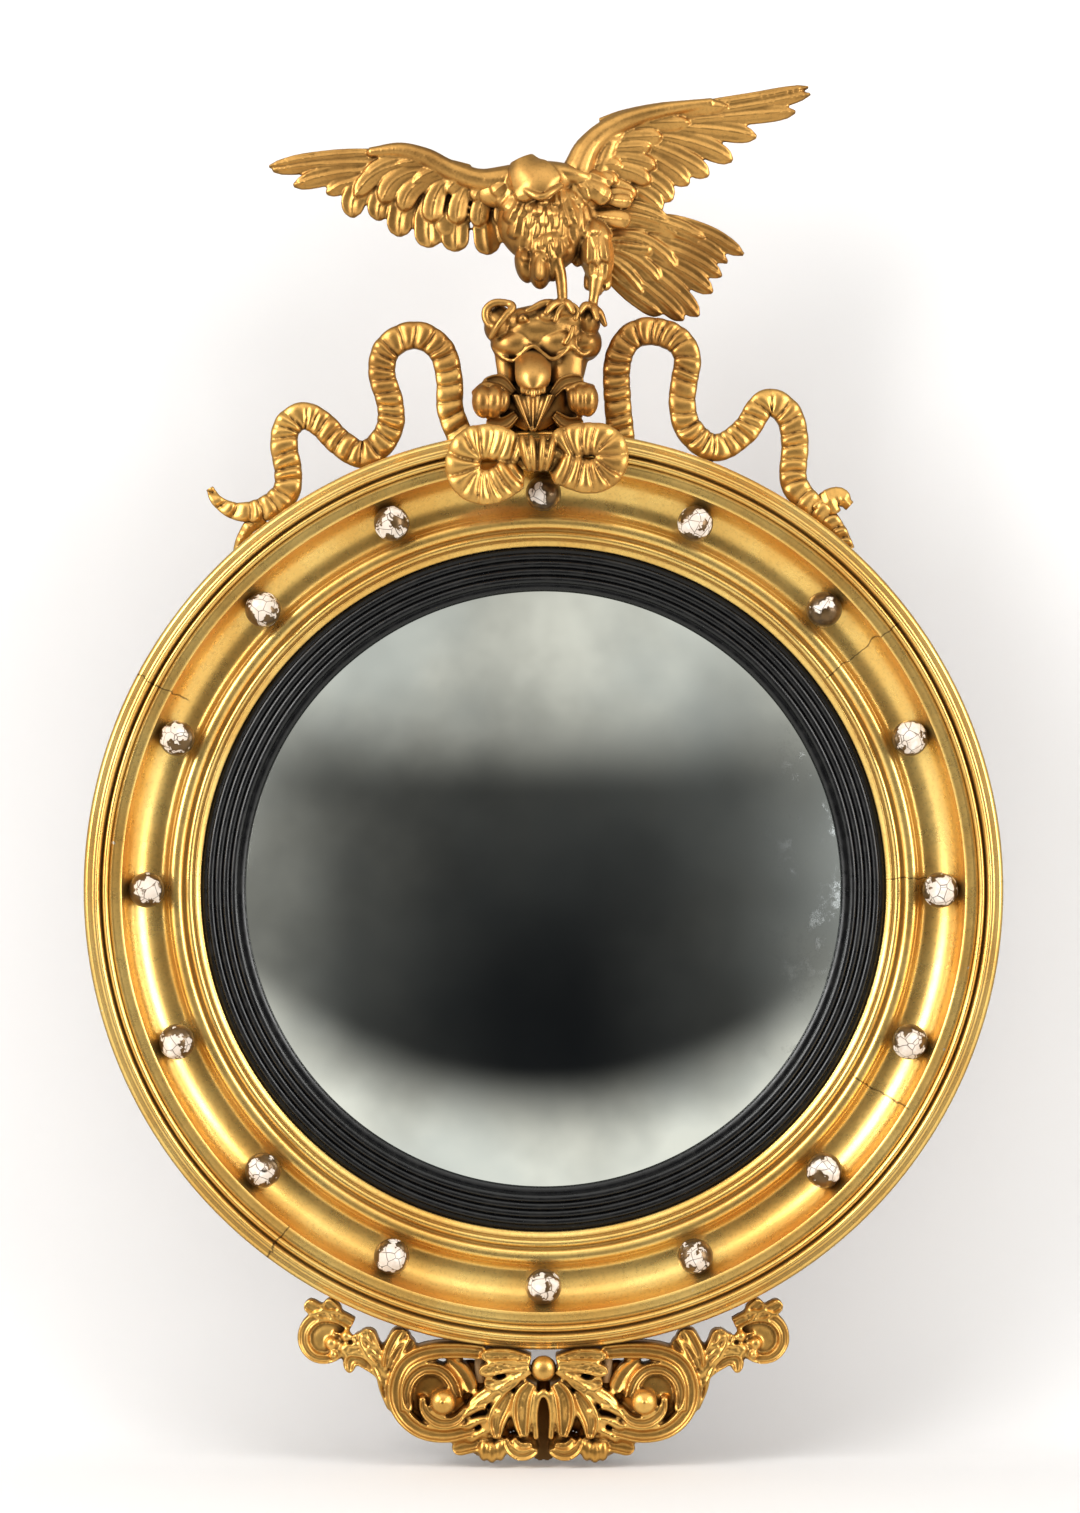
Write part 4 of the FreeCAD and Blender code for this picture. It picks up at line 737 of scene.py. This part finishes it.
bmesh.ops.create_cone(
    bm, cap_ends=True, segments=48, radius1=29 * MM, radius2=38 * MM, depth=36 * MM,
    matrix=Matrix.Translation(Vector((0, -35, 398)) * MM) @ Matrix.Diagonal((1.0, 0.58, 1, 1)),
)
limb(bm, [
    (-37, 406, 48, 2.0), (-30, 399, 53, 1.8), (-22, 396.5, 56, 1.8), (-15, 402, 57, 1.8), (-8, 407, 59, 1.8),
    (-1, 402, 59, 1.8), (7, 397, 60, 2.0), (16, 403, 58, 1.8), (21, 407, 55, 1.8),
    (29, 401.5, 52, 1.8), (36, 405, 48, 1.8), (39, 411, 43, 1.8),
], 5)
limb(bm, [
    (-35.5, 421, 60, 2.8), (-41.5, 424, 58, 3.0), (-43.5, 433, 57, 3.2), (-38, 439, 57, 3.2),
    (-29.5, 439.5, 58, 3.0), (-23, 436.5, 60, 3.2), (-28, 429.5, 63, 2.8), (-34, 422, 63, 2.6),
    (-39, 414, 58, 2.6),
], 6)
limb(bm, [
    (9, 426, 62, 2.2), (11.5, 434, 61, 2.6), (18, 438, 60, 2.8), (25, 434, 60, 2.6), (24, 427, 62, 2.2),
], 6)
limb(bm, [(17, 409, 62, 2.2), (20, 414, 62, 2.4), (22, 421, 60, 2.0)], 5)
for sign in (-1, 1):
    strip(
        bm, ((-8, 348), (-8 + 13 * sign, 360), (-8 + 22 * sign, 377)), 20, 8,
        lambda t: 9 * math.sin(math.pi * (0.25 + 0.6 * t)), lambda t, u: 58 - 2.5 * abs(u), 40,
    )
carved(bm, "rockwork_carved", 1.1, crest_gilding, "rockwork_plinth")

# ---------------------------------------------------------------- leaf and buds
# A round drop with a fluted fringe over a pointed leaf, planted on the front of the
# drum, and a bud at each side of it, on a short stalk.
def cupped(bm, points, half, level, rim, back, vein=0.0):
    """A hollowed strip with a raised rim along each edge, and a vein if it has one."""
    def widths(t):
        tip = 1.0 if t < 0.76 else math.sqrt(max(0.03, 1 - ((t - 0.76) / 0.24) ** 2.2))
        return half(t) if callable(half) else half * tip * min(1.0, 0.6 + t)

    def front(t, u):
        edge = rim * math.exp(-((abs(u) - 0.76) / 0.2) ** 2)
        return level + edge - rim * 0.8 * (abs(u) > 0.97) + vein * math.exp(-(u / 0.14) ** 2)

    strip(bm, points, max(12, 8 * len(points)), 12, widths, front, back)


drop = -7.8
bm = bmesh.new()
strip(
    bm, ((drop, 404), (drop, 390), (drop, 374)), 24, 16,
    lambda t: 13.5 * math.sqrt(max(0.05, 1 - (0.95 * (t - 0.42) / 0.6) ** 4)),
    lambda t, u: 58 + 16.5 * math.sin(math.pi / 2 * min(1.0, t / 0.8)) - 8.5 * abs(u) ** 2.2, 50,
)
for step in range(-2, 3):
    out = abs(step)
    foot = 369.5 + 1.6 * out
    limb(bm, [
        (drop + 4.2 * step, foot + 9, 70 - out, 2.0), (drop + 3.8 * step, foot, 70 - 2 * out, 2.2),
    ], 6)
cupped(bm, ((drop, 343), (drop, 354), (drop, 370)), lambda t: 1.6 + 15.5 * t**0.9, 63, 4.5, 56, 4.5)
carved(bm, "plinth_leaf_carved", 0.8, crest_gilding, "plinth_leaf")

bm = bmesh.new()
for x, radii in ((-45.2, (8.4, 12.4, 11.2)), (-36.8, (7.6, 12.8, 11.2)), (-29.5, (4.6, 8.5, 7.0))):
    mass(bm, (x, 365, 62.5), radii, -0.9 * (x + 41))
mass(bm, (-42, 365, 58), (10, 11, 9))
limb(bm, [(-51, 372, 60, 3.0), (-44, 377, 62, 3.2), (-35, 376, 62, 3.0)], 6)
limb(bm, [(-31, 364, 56, 5), (-22, 362, 54, 5)], 5)
cupped(bm, ((-22, 372), (-33, 381), (-46, 377)), 5.0, 60, 3.0, 50)
cupped(bm, ((-20, 356), (-30, 349), (-43, 350)), 5.6, 60, 3.0, 50)
carved(bm, "left_bud_carved", 0.8, crest_gilding, "left_bud")

bm = bmesh.new()
for x, radii in ((27.4, (6.4, 12.0, 10.6)), (33.6, (7.6, 12.4, 10.6)), (22.0, (4.2, 9.0, 8.4))):
    mass(bm, (x, 366, 62), radii, -0.9 * (x - 30))
mass(bm, (30, 366, 57), (9, 11, 9))
limb(bm, [(19, 374, 61, 2.6), (27, 377.5, 61, 3.0), (36, 376, 60, 2.8)], 6)
cupped(bm, ((6, 370), (16, 380), (30, 382)), 5.0, 59, 3.0, 50)
cupped(bm, ((8, 356), (18, 349), (30, 350)), 5.6, 59, 3.0, 50)
carved(bm, "right_bud_carved", 0.8, crest_gilding, "right_bud")

# ---------------------------------------------------------------- the bow
# Two ruched loops of the same ribbon, wider than its tails, gathered in a knot over the
# top of the ring and pinned to its outer members.
bm = bmesh.new()
left_bow = (
    (-15.9, 325.1), (-27.8, 330.3), (-41.2, 334), (-54.5, 330.3), (-59.7, 317.7),
    (-56, 305.1), (-42.6, 299.9), (-30, 304.3), (-17.4, 315.4),
)
right_bow = (
    (4.8, 323.6), (15.2, 331.8), (30.8, 335.5), (46.3, 333.2), (50.8, 322.1),
    (45.6, 311.7), (33, 308), (18.2, 312.5), (4.8, 317.7),
)
bow_cut = {"back": 72.6, "thick": 15.0, "deep": 5.0, "pitch": 8.4, "ends": (0.12, 0.92)}
ribbon(bm, left_bow, width=26.0, seed=21, **bow_cut)
ribbon(bm, right_bow, width=25.0, seed=33, **bow_cut)
for x, lean, reach in ((-13.5, 12, 3.6), (-8.0, 5, 4.0), (-1.0, -5, 4.0), (5.0, -12, 3.6)):
    mass(bm, (x, 325, 82), (reach, 14.0, 10.5), lean)
mass(bm, (-4.5, 324, 78), (13, 12, 9))
carved(bm, "ribbon_bow_carved", 0.9, carved_gilding, "ribbon_bow")


# ---------------------------------------------------------------- the eagle's wings
# Each wing is carved from its own board: long flight feathers, two rows of coverts laid
# over them like shingles, and the rounded arm along the leading edge.
def feather(bm, start, bend, end, width, thick=6.0, tilt=0.0, hollow=0.0, ground=None):
    """A carved feather from root to tip, midrib raised, its edges tilted like a shingle.

    start and end are (x, h, depth of the midrib); bend is where the middle bows to.
    """
    rise = end[2] - start[2]

    def half(t):
        grow = min(1.0, 0.62 + 0.75 * t)
        tip = 1.0 if t < 0.74 else math.sqrt(max(0.03, 1 - ((t - 0.74) / 0.26) ** 2.4))
        return width / 2 * grow * tip

    def front(t, u):
        crown = 1.9 * (1 - abs(u) ** 2.2) + 0.9 * math.exp(-(u / 0.13) ** 2)
        flute = hollow * math.exp(-((abs(u) - 0.45) / 0.2) ** 2)
        droop = 1.6 * max(0.0, (t - 0.8) / 0.2) ** 2
        return start[2] + rise * t - 2.6 + crown - flute + tilt * u - droop

    middle = (2 * bend[0] - 0.5 * start[0] - 0.5 * end[0], 2 * bend[1] - 0.5 * start[1] - 0.5 * end[1])
    curve = []
    for share in (0.0, 0.25, 0.5, 0.75, 1.0):
        first, second, third = (1 - share) ** 2, 2 * share * (1 - share), share**2
        curve.append([first * start[k] + second * middle[k] + third * end[k] for k in (0, 1)])
    low = min(start[2], end[2]) - thick
    strip(bm, curve, 18, 10, half, front, 40 if ground else low, ground)


def feathers(bm, rows, thick, tilt, hollow=0.0):
    """A row of feathers, each given as (start, bend, end, width)."""
    for start, bend, end, width in rows:
        feather(bm, start, bend, end, width, thick, tilt, hollow)


bm = bmesh.new()
feathers(bm, (
    ((-85.5, 552.5, 37), (-149.6, 554.2), (-207.8, 545.6, 33), 9),
    ((-89.3, 545, 37), (-149.6, 547.4), (-204.9, 542.7, 32), 11),
    ((-93, 540.5, 37), (-145.8, 540.6), (-189, 531.2, 33), 14),
    ((-96.8, 535.9, 37), (-138.3, 534.6), (-164.1, 525.2, 33), 14),
    ((-102.1, 535.9, 37), (-135.3, 530.1), (-144.4, 507, 34), 19),
    ((-93, 532.9, 37), (-117.2, 525.5), (-124.8, 504.7, 34), 19),
    ((-87, 530.7, 37), (-103.6, 519.5), (-109, 492.6, 34), 20),
    ((-76.4, 526.9, 37), (-85.5, 510.5), (-85.6, 484.3, 34), 22),
    ((-61.4, 523.1, 37), (-65.9, 502.9), (-66, 481.3, 34), 21),
    ((-43.3, 520.9, 37), (-43.3, 499.9), (-41.1, 478.9, 35), 20),
    ((-29, 519.4, 37), (-26.7, 502.9), (-24.5, 486.5, 35), 17),
), thick=6.5, tilt=-1.1, hollow=0.7)
feathers(bm, (
    ((-77.9, 548.9, 41), (-111.7, 548.9), (-136.6, 534.1, 39), 12),
    ((-77.9, 544.4, 41), (-117, 542.9), (-141.9, 522.1, 39), 14),
    ((-79.3, 539.7, 42), (-106.4, 536.7), (-121.5, 517.4, 40), 16),
    ((-74.8, 536.7, 42), (-96.6, 529.2), (-105.7, 511.4, 40), 15),
    ((-71.8, 533.7, 42), (-80.8, 521.7), (-83.9, 503.1, 40), 16),
    ((-55.3, 530.7, 42), (-62.8, 518.6), (-65.1, 501.6, 40), 15),
    ((-38.7, 527.7, 42), (-46.2, 515.6), (-48.5, 499.4, 40), 15),
    ((-23.7, 524.7, 42), (-29.7, 514.1), (-30.4, 500.7, 41), 14),
), thick=6.5, tilt=-1.0)
feathers(bm, (
    ((-55.2, 542.4, 44), (-85.3, 546.9), (-110.9, 545.7, 42), 10),
    ((-52.2, 539.3, 45), (-77.8, 540.8), (-97.4, 532, 43), 10),
    ((-46.2, 536.3, 45), (-61.2, 534.8), (-73.3, 524.5, 43), 11),
    ((-32.7, 533.1, 46), (-44.7, 528.6), (-52.2, 518.4, 44), 12),
    ((-20.6, 530.1, 46), (-29.6, 525.6), (-35.7, 515.4, 44), 12),
), thick=6.5, tilt=-0.8)
strip(
    bm, ((-117.2, 546.6), (-89.3, 531.6), (-55.4, 519.5), (-22.2, 510.5)), 24, 8,
    lambda t: 10 + 6 * t, lambda t, u: 33.5, 28,
)
mass(bm, (-73.5, 503.2, 33), (8, 10, 3))
limb(bm, [
    (-129.2, 555.7, 36, 4), (-108.1, 556.9, 38, 6), (-89.2, 551.5, 39, 7.5), (-70.4, 541.5, 40, 8),
    (-47.8, 533.8, 41, 9), (-23.7, 533.7, 42, 12),
], 8)
carved(bm, "left_wing_carved", 1.0, crest_gilding, "left_wing")

bm = bmesh.new()
feathers(bm, (
    ((72.8, 585.7, 37), (144.3, 594.7), (200.4, 605.9, 33), 9),
    ((80.3, 581.1, 37), (148.1, 589.4), (201.9, 600.7, 33), 10),
    ((80.3, 576.6, 37), (140.6, 582.7), (190.6, 587.1, 33), 13),
    ((72.8, 573.6, 37), (118, 573.8), (161.1, 568.2, 33), 15),
    ((69, 569.1, 37), (110.5, 563.2), (143, 550.1, 33), 16),
    ((65.2, 564.6, 37), (96.9, 554.2), (124.9, 538.6, 34), 16),
    ((59.2, 560, 37), (87.9, 548.1), (109.8, 531.9, 34), 16),
    ((51.7, 549.5, 37), (80.3, 534.6), (97, 519.8, 34), 18),
    ((45.6, 537.4, 37), (72.8, 525.5), (89.4, 512.1, 35), 16),
), thick=6.5, tilt=1.1, hollow=0.7)
feathers(bm, (
    ((42.6, 577.5, 41), (80.2, 586.5), (139, 589.9, 39), 11),
    ((42.6, 571.5, 41), (72.7, 576), (110.4, 577.8, 39), 11),
    ((38, 563.8, 42), (61.3, 565.3), (89.2, 567.1, 40), 13),
    ((36.5, 556.3, 42), (57.6, 557.8), (80.9, 559.4, 41), 12),
    ((36.5, 548.7, 42), (59.1, 550.2), (84.7, 544.5, 40), 13),
    ((38, 541.2, 42), (60.6, 541.2), (80.2, 532.3, 41), 13),
    ((36.5, 533.7, 42), (51.6, 530.7), (69.6, 521.8, 41), 12),
), thick=6.5, tilt=1.0)
feathers(bm, (
    ((25.9, 549.6, 46), (39.5, 558.7), (59, 568, 44), 12),
    ((27.5, 540.6, 46), (42.5, 545.1), (59, 543.9, 44), 11),
    ((30.5, 536.1, 46), (42.5, 536.1), (56, 531.8, 45), 11),
    ((42.5, 521.1, 46), (51.5, 522.6), (68.1, 519.9, 44), 11),
), thick=6.5, tilt=0.8)
strip(bm, ((38.1, 531.6), (72.8, 555.7), (118, 578.3)), 24, 8, lambda t: 13 - 8 * t, lambda t, u: 33.5, 28)
limb(bm, [(38, 530, 39, 7.5), (50, 561, 38, 6.5)], 10)
limb(bm, [
    (26, 541.2, 42, 12), (33.5, 557.9, 41, 9.5), (47.1, 570.9, 40, 8), (66.7, 580.8, 39, 6.5),
    (93.8, 587.8, 38, 5), (125.5, 592.6, 36, 4),
], 8)
carved(bm, "right_wing_carved", 1.0, crest_gilding, "right_wing")

# ---------------------------------------------------------------- the eagle's tail
# A fan of long feathers behind the right leg, deeply fluted along each side of the rib,
# carved from a board of its own and pinned behind the body.
bm = bmesh.new()
feathers(bm, (
    ((39.7, 495.9, 32), (94, 503.5), (151.6, 479.8, 28), 14),
    ((41.2, 491.4, 32), (91, 495.9), (139.5, 473.8, 28), 13),
    ((42.7, 486.9, 32), (88, 485.5), (135, 463.2, 28), 15),
    ((44.2, 482.5, 31), (84.2, 476.4), (128.2, 451.1, 28), 16),
    ((45.7, 477.9, 31), (80.5, 466), (117.6, 433, 28), 16),
    ((45.7, 473.4, 31), (72.9, 458.4), (106.2, 429.9, 28), 14),
    ((44.2, 470.4, 31), (62.4, 453.9), (89.6, 434.5, 28), 14),
), thick=5.6, tilt=0.9, hollow=1.2)
feathers(bm, (
    ((41.1, 498.5, 35), (69.8, 507.6), (103.1, 492.9, 32), 13),
    ((38.1, 507.4, 36), (72.8, 507.4), (121.2, 491.4, 32), 13),
    ((36.6, 514.8, 37), (63.7, 514.8), (94, 504.7, 34), 13),
    ((42.6, 489.5, 35), (72.8, 489.6), (100.1, 468.9, 31), 13),
    ((42.6, 483.4, 35), (65.3, 477.5), (88, 458.3, 31), 13),
    ((42.6, 477.4, 35), (57.7, 468.5), (74.4, 450.7, 31), 12),
), thick=6.0, tilt=0.9, hollow=1.0)
strip(bm, ((45.7, 487.1), (69.9, 476.5), (94.1, 459.9)), 20, 8, lambda t: 15 + 2 * t, lambda t, u: 27.0, 23)
limb(bm, [(26, 489.5, 30, 4.6), (78, 482.5, 29, 4.6)], 14)
carved(bm, "eagle_tail_carved", 1.0, crest_gilding, "eagle_tail")

# ---------------------------------------------------------------- the eagle's body
# Trunk, bowed head, thighs, shanks and toes in one block, covered with short feathers
# that lie over the breast and thighs, and a lipped edge where the head bends down.
bm = bmesh.new()
trunk = (
    ((1, 502, 42), (36, 33, 20), -8),
    ((-24, 528, 39), (27, 15, 12), 12),
    ((30, 527, 38), (21, 18, 13), 30),
    ((-4, 532, 47), (25, 15, 16), 0),
    ((5, 482, 46), (20, 18, 18), 0),
    ((-14, 469, 49), (7.5, 14, 12), 12),
    ((-2.5, 466, 54), (9, 16, 12.5), 0),
    ((8.5, 471, 51), (7.5, 15, 12), -8),
    ((40, 479, 45), (13, 25, 13), 6),
)
for spot, radii, lean in trunk:
    mass(bm, spot, radii, lean, 4)
mass(bm, (-15, 541, 44), (11, 9, 11), 14, 4)
mass(bm, (-26, 535, 42), (18, 8, 11), 22, 4)
mass(bm, (12, 538, 45), (26, 8.5, 12), -10, 4)
least_depth = 44.0


def skin_depth(x, h):
    """How far out the trunk's foremost mass reaches over a place."""
    depth = least_depth
    for (cx, ch, cd), (rx, rh, rd), lean in trunk:
        turn = math.radians(lean)
        dx, dh = x - cx, h - ch
        across = (dx * math.cos(turn) + dh * math.sin(turn)) / rx
        up = (-dx * math.sin(turn) + dh * math.cos(turn)) / rh
        inside = 1 - across**2 - up**2
        if inside > 0:
            depth = max(depth, cd + rd * math.sqrt(inside))
    return depth


def body_feather(start, end, width, proud):
    """A short feather that lies on the trunk from one place to another, proud at its tip."""
    bend = ((start[0] + end[0]) / 2, (start[1] + end[1]) / 2)
    feather(bm, (*start, 1.2), bend, (*end, proud + 1.6), width, ground=skin_depth)


chance = random.Random(4)
row_pitch = 7.5
feather_pitch = 8.6
first_root = (-30, 487)
clear_of_wings = 48
for row in range(7):
    root = first_root[1] + row_pitch * row
    for place in range(8):
        x = first_root[0] + feather_pitch * (place + 0.5 * (row % 2)) + chance.uniform(-1.2, 1.2)
        lean = (x - 2) * 0.2 + chance.uniform(-2, 2)
        reach = 15 + chance.uniform(-3, 3)
        tip = (x + lean, root - reach)
        if skin_depth(*tip) > clear_of_wings:
            body_feather((x, root), tip, feather_pitch, chance.uniform(1.0, 2.4))
for start, end, width, proud in (
    ((-9.3, 486.2), (-14.6, 469.7), 9, 2.0), ((1.9, 486.2), (1.9, 469.7), 10, 2.0),
    ((12.4, 489.2), (13.8, 472.7), 9, 2.0), ((22.1, 492.2), (24.3, 474.2), 9, 2.0),
    ((-2.6, 477.2), (-2.6, 454.8), 9, 3.5),
    ((21.3, 516.1), (25.8, 495.2), 10, 2.5), ((28.8, 512.4), (30.3, 489.2), 9, 3.0),
    ((36.3, 511.6), (39.3, 490.7), 9, 3.0), ((44.5, 508.6), (49, 487.7), 9, 2.5),
    ((24.3, 489.2), (25.8, 468.2), 8, 2.5), ((33.3, 493.7), (32.5, 468.2), 8.5, 4.5),
    ((43.8, 493.7), (48.2, 469.7), 9.5, 4.5), ((39.3, 489.2), (40, 466.8), 6, 3.0),
    ((34.8, 469.7), (34, 450.3), 8, 3.0), ((48.2, 469.7), (46.7, 450.3), 8, 3.0),
    ((41.5, 469.7), (40, 445.8), 9, 4.5),
    ((24.3, 531.1), (33.3, 523.6), 10, 2.0), ((30.3, 531.1), (49.7, 517.6), 15, 7.0),
    ((34.8, 538.5), (52.7, 531.1), 12, 3.0), ((40, 506.4), (65.4, 501.9), 13, 8.0),
    ((46.7, 519.1), (66.2, 516.1), 11, 7.0),
    ((-23.5, 534), (-38.5, 522.1), 13, 2.5), ((-20.5, 526.6), (-32.5, 511.6), 13, 3.0),
    ((-19, 517.6), (-26.5, 499.7), 12, 3.0), ((-17.6, 507.1), (-22.8, 487.7), 11, 3.0),
    ((-22, 541.5), (-40, 534), 12, 2.5),
):
    body_feather(start, end, width, proud)
strip(
    bm, ((-16.8, 548.3), (-13.1, 540), (-7.1, 531.1), (-1.1, 519.8)), 30, 24,
    lambda t: 9 + 9.5 * math.sin(math.pi * min(0.62, t * 0.62)) - 5 * max(0.0, (t - 0.8) / 0.2) ** 2,
    lambda t, u: 60 + 13.5 * math.sin(math.pi / 2 * min(1.0, t * 1.08)) - 6 * abs(u) ** 2, 48,
)
limb(bm, [
    (-16.8, 525, 66, 2.2), (-10, 519.6, 72, 2.6), (-1.9, 516.2, 75, 2.8), (6.3, 520.2, 73, 2.6),
    (13.1, 525.6, 67, 2.2),
], 8)
limb(bm, [(9.6, 472, 58, 5.5), (13, 458, 58, 4.6), (14.6, 438, 56, 3.8)], 9)
limb(bm, [(40, 458, 50, 6.0), (38, 446, 50, 4.0), (36, 433, 50, 4.2)], 8)
grips = (
    ((14.6, 438, 56), ((-12, 433, 62), (2, 431, 67), (22, 432, 66))),
    ((36, 436, 51), ((27, 432, 61), (40, 427, 62), (46, 424, 52))),
)
knuckle_rise = 3.5
for ankle, tips in grips:
    for tip in tips:
        knuckle = [(a + b) / 2 for a, b in zip(ankle, tip)]
        knuckle[1] += knuckle_rise
        limb(bm, [(*ankle, 3.8), (*knuckle, 3.4), (*tip, 2.2)], 7)
carved(bm, "eagle_body_carved", 0.9, crest_gilding, "eagle_body")

# ---------------------------------------------------------------- the apron
# A pierced carving in one board: C-scrolls with rolled edges at each side, acanthus
# leaves falling from the middle, sprigs above, and a slot under the boss. Each half
# is carved alike.
# Its gilding lays toner and painted shade into hollows, and paints the recessed ground deeper than 34 to 42
# mm dark as shade.
apron_gilding = gilding(
    "deep_toned_shaded_gilding", "#f2bf68", "#c99346", "#4d2f15", "#6f3d20",
    worn=(0.56, 0.66, 0.72), hollow_shading=(6.0, 0.40, 0.97, 0.92, 0.95), rough=(0.26, 0.38), metal=0.85,
    ground=(34, 42),
)

# The left half, from its ground up; the right half is its mirrored copy.
bm = bmesh.new()
for spot, radii in (
    ((-28.9, -378.3, 34), (25.5, 31, 7)),
    ((-55.1, -370.8, 34), (18, 16, 7)),
    ((-83.6, -382.8, 36), (26, 25, 8)),
    ((-17.6, -418.1, 36), (13, 9, 8)),
    ((-41.6, -414.3, 38), (17, 14, 8)),
    ((-46.1, -396.3, 36), (13, 18, 8)),
    ((-2.6, -400.8, 31), (12, 31, 4)),
    ((-163.2, -339.3, 36), (17, 16, 6)),
    ((-128.6, -351.3, 38), (13, 12, 7)),
    ((-109.1, -346.8, 38), (11, 14, 7)),
):
    mass(bm, spot, radii, detail=4)
cupped(bm, (
    (-44.6, -346.8), (-66.4, -345.3), (-88.9, -347.5), (-103.1, -355), (-109.9, -367.8), (-110.6, -382.8),
    (-103.9, -396.3), (-91.1, -406), (-73.1, -409), (-55.1, -405.3),
), lambda t: 5.8 + 0.8 * math.sin(math.pi * t), 51, 4.5, 32)
cupped(bm, (
    (-102.4, -390.3), (-103.1, -378.3), (-99.4, -367), (-89.6, -359.5), (-77.6, -360.3), (-68.6, -369.3),
    (-64.9, -381.3),
), lambda t: 4.6, 51, 4.0, 34)
cupped(bm, (
    (-91.1, -379.8), (-88.1, -391.8), (-77.6, -399.3), (-65.6, -397.8), (-57.4, -388.8),
), lambda t: 4.6 * math.sin(math.pi * (0.15 + 0.7 * t)), 53, 3.5, 34)
mass(bm, (-75.4, -383.5, 54), (9.8, 9.8, 9), detail=4)
mass(bm, (-75.4, -382.8, 62), (2.8, 2.8, 2.8))
cupped(bm, ((-71.6, -352.8), (-60.4, -363.3), (-52.9, -378.3)), 6.5, 46, 2.0, 34)
feather(bm, (-10.1, -358.8, 60), (-34.1, -373.8), (-56.6, -389.5, 55), 11, 16, 0, 1.4)
cupped(bm, ((-9.4, -352), (-28.1, -348.3), (-46.9, -349)), 5.4, 56, 3.5, 36, 2.0)
cupped(bm, ((-10.9, -355.8), (-28.1, -356.5), (-48.4, -361)), 5.2, 57, 3.5, 36, 2.0)
cupped(bm, ((-16.1, -363.3), (-30.4, -371.5), (-44.6, -368.5)), 5.2, 54, 4.0, 36)
cupped(bm, (
    (-24.4, -376.8), (-30.4, -387.3), (-34.9, -397.8), (-34.9, -411.3),
), lambda t: 8.4 * math.sin(math.pi * (0.16 + 0.74 * t)), 53, 5.0, 36, 1.5)
cupped(bm, (
    (-8.6, -369.3), (-14.6, -379.8), (-16.1, -393.3), (-14.6, -409.8),
), lambda t: 8.8 * math.sin(math.pi * (0.18 + 0.70 * t)), 55, 5.0, 36, 1.5)
feather(bm, (-34.1, -390.3, 57), (-41.6, -397.8), (-43.1, -409.8, 54), 7, 14, 0, 0.8)
limb(bm, [
    (0.4, -376, 56, 2.8), (-4.1, -379.8, 56, 2.8), (-6.4, -391.8, 55, 2.6), (-5.6, -409.8, 53, 2.4),
], 8)
cupped(bm, ((-28.9, -411.3), (-24.4, -421.1), (-15.4, -424.8), (-4.1, -420.3)), 3.8, 51, 3.0, 34)
cupped(bm, ((-22.1, -411.3), (-17.6, -417.3), (-8.6, -416.6)), 2.8, 50, 2.6, 34)
for spot in ((-44.6, -420.3), (-38.6, -421.8), (-32.6, -420.3)):
    mass(bm, (*spot, 47), (4.8, 8.8, 6.5))
cupped(bm, ((-38.6, -413.5), (-53.6, -416.6), (-68.6, -420.3)), 6.6, 48, 3.5, 34)
feather(bm, (-43.1, -387.3, 57), (-52.1, -388.8), (-61.1, -394.8, 55), 7, 16)
feather(bm, (-43.1, -396.3, 56), (-50.6, -398.5), (-60.4, -404.5, 54), 7, 16)
feather(bm, (-41.6, -405.3, 55), (-49.1, -408.3), (-58.1, -413.5, 53), 7, 16)
cupped(bm, (
    (-112.1, -388.8), (-118.1, -375.3), (-122.6, -360.3), (-133.1, -348.3), (-148.1, -345.3),
), lambda t: 5.6 - t, 47, 3.0, 34, 1.4)
cupped(bm, ((-122.6, -354.3), (-129.4, -343.8), (-134.6, -330.3)), 7.6, 47, 4.0, 34, 2.0)
cupped(bm, ((-125.6, -346.8), (-133.1, -342.3), (-142.1, -334.8)), 5.0, 47, 3.0, 34)
cupped(bm, ((-116.6, -358.8), (-112.1, -345.3), (-103.9, -330.3)), 8.6, 49, 4.5, 34, 2.2)
cupped(bm, ((-113.6, -352.8), (-106.1, -345.3), (-97.1, -338.5)), 5.4, 49, 3.5, 34)
cupped(bm, ((-118.1, -369.3), (-130.1, -357.3), (-143.6, -352.8), (-145.9, -363.3)), 5.4, 46, 3.5, 34)
cupped(bm, (
    (-143.6, -327.3), (-155.7, -321.3), (-169.2, -321.3), (-178.9, -329.5), (-180.4, -341.5),
    (-172.9, -351.3), (-160.9, -352.8), (-151.9, -346.8), (-151.2, -338.5), (-158.7, -334.8),
), lambda t: 5.2 - 2.0 * t, 43, 3.6, 32)
for x, h, reach in ((-159.4, -340.8, 4.8), (-148.1, -335.5, 4.4), (-148.9, -345.3, 4.6), (-157.9, -349, 3.6)):
    mass(bm, (x, h, 45), (reach, reach, 4.6))
cupped(bm, ((-161.7, -322.8), (-170.7, -316), (-179.7, -311.5)), 5.6, 43, 3.0, 33, 1.2)
cupped(bm, ((-154.2, -322.8), (-157.9, -316), (-164.7, -310)), 6.0, 43, 3.0, 33, 1.2)

other = bmesh.ops.duplicate(bm, geom=[*bm.verts, *bm.edges, *bm.faces])
right_half = [item for item in other["geom"] if isinstance(item, bmesh.types.BMVert)]
bmesh.ops.scale(bm, verts=right_half, vec=(-1, 1, 1))
carved(bm, "apron_carved", 1.25, apron_gilding, "apron_carving")

# ---------------------------------------------------------------- the boss
# A turned knob at the head of the apron's slot, gilded with it and glued in by its own
# spigot.
boss_profile = [(0, 62.2), (3.4, 61.7), (6.6, 60.0), (8.8, 57.2), (9.7, 53.8), (9.2, 50.6)]
boss_profile += [(8.8, 48.4), (0, 48.4)]
boss = turned("apron_boss_turned", boss_profile, apron_gilding, 48, height=-358.5)
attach(boss, "mirror")
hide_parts("apron_boss")
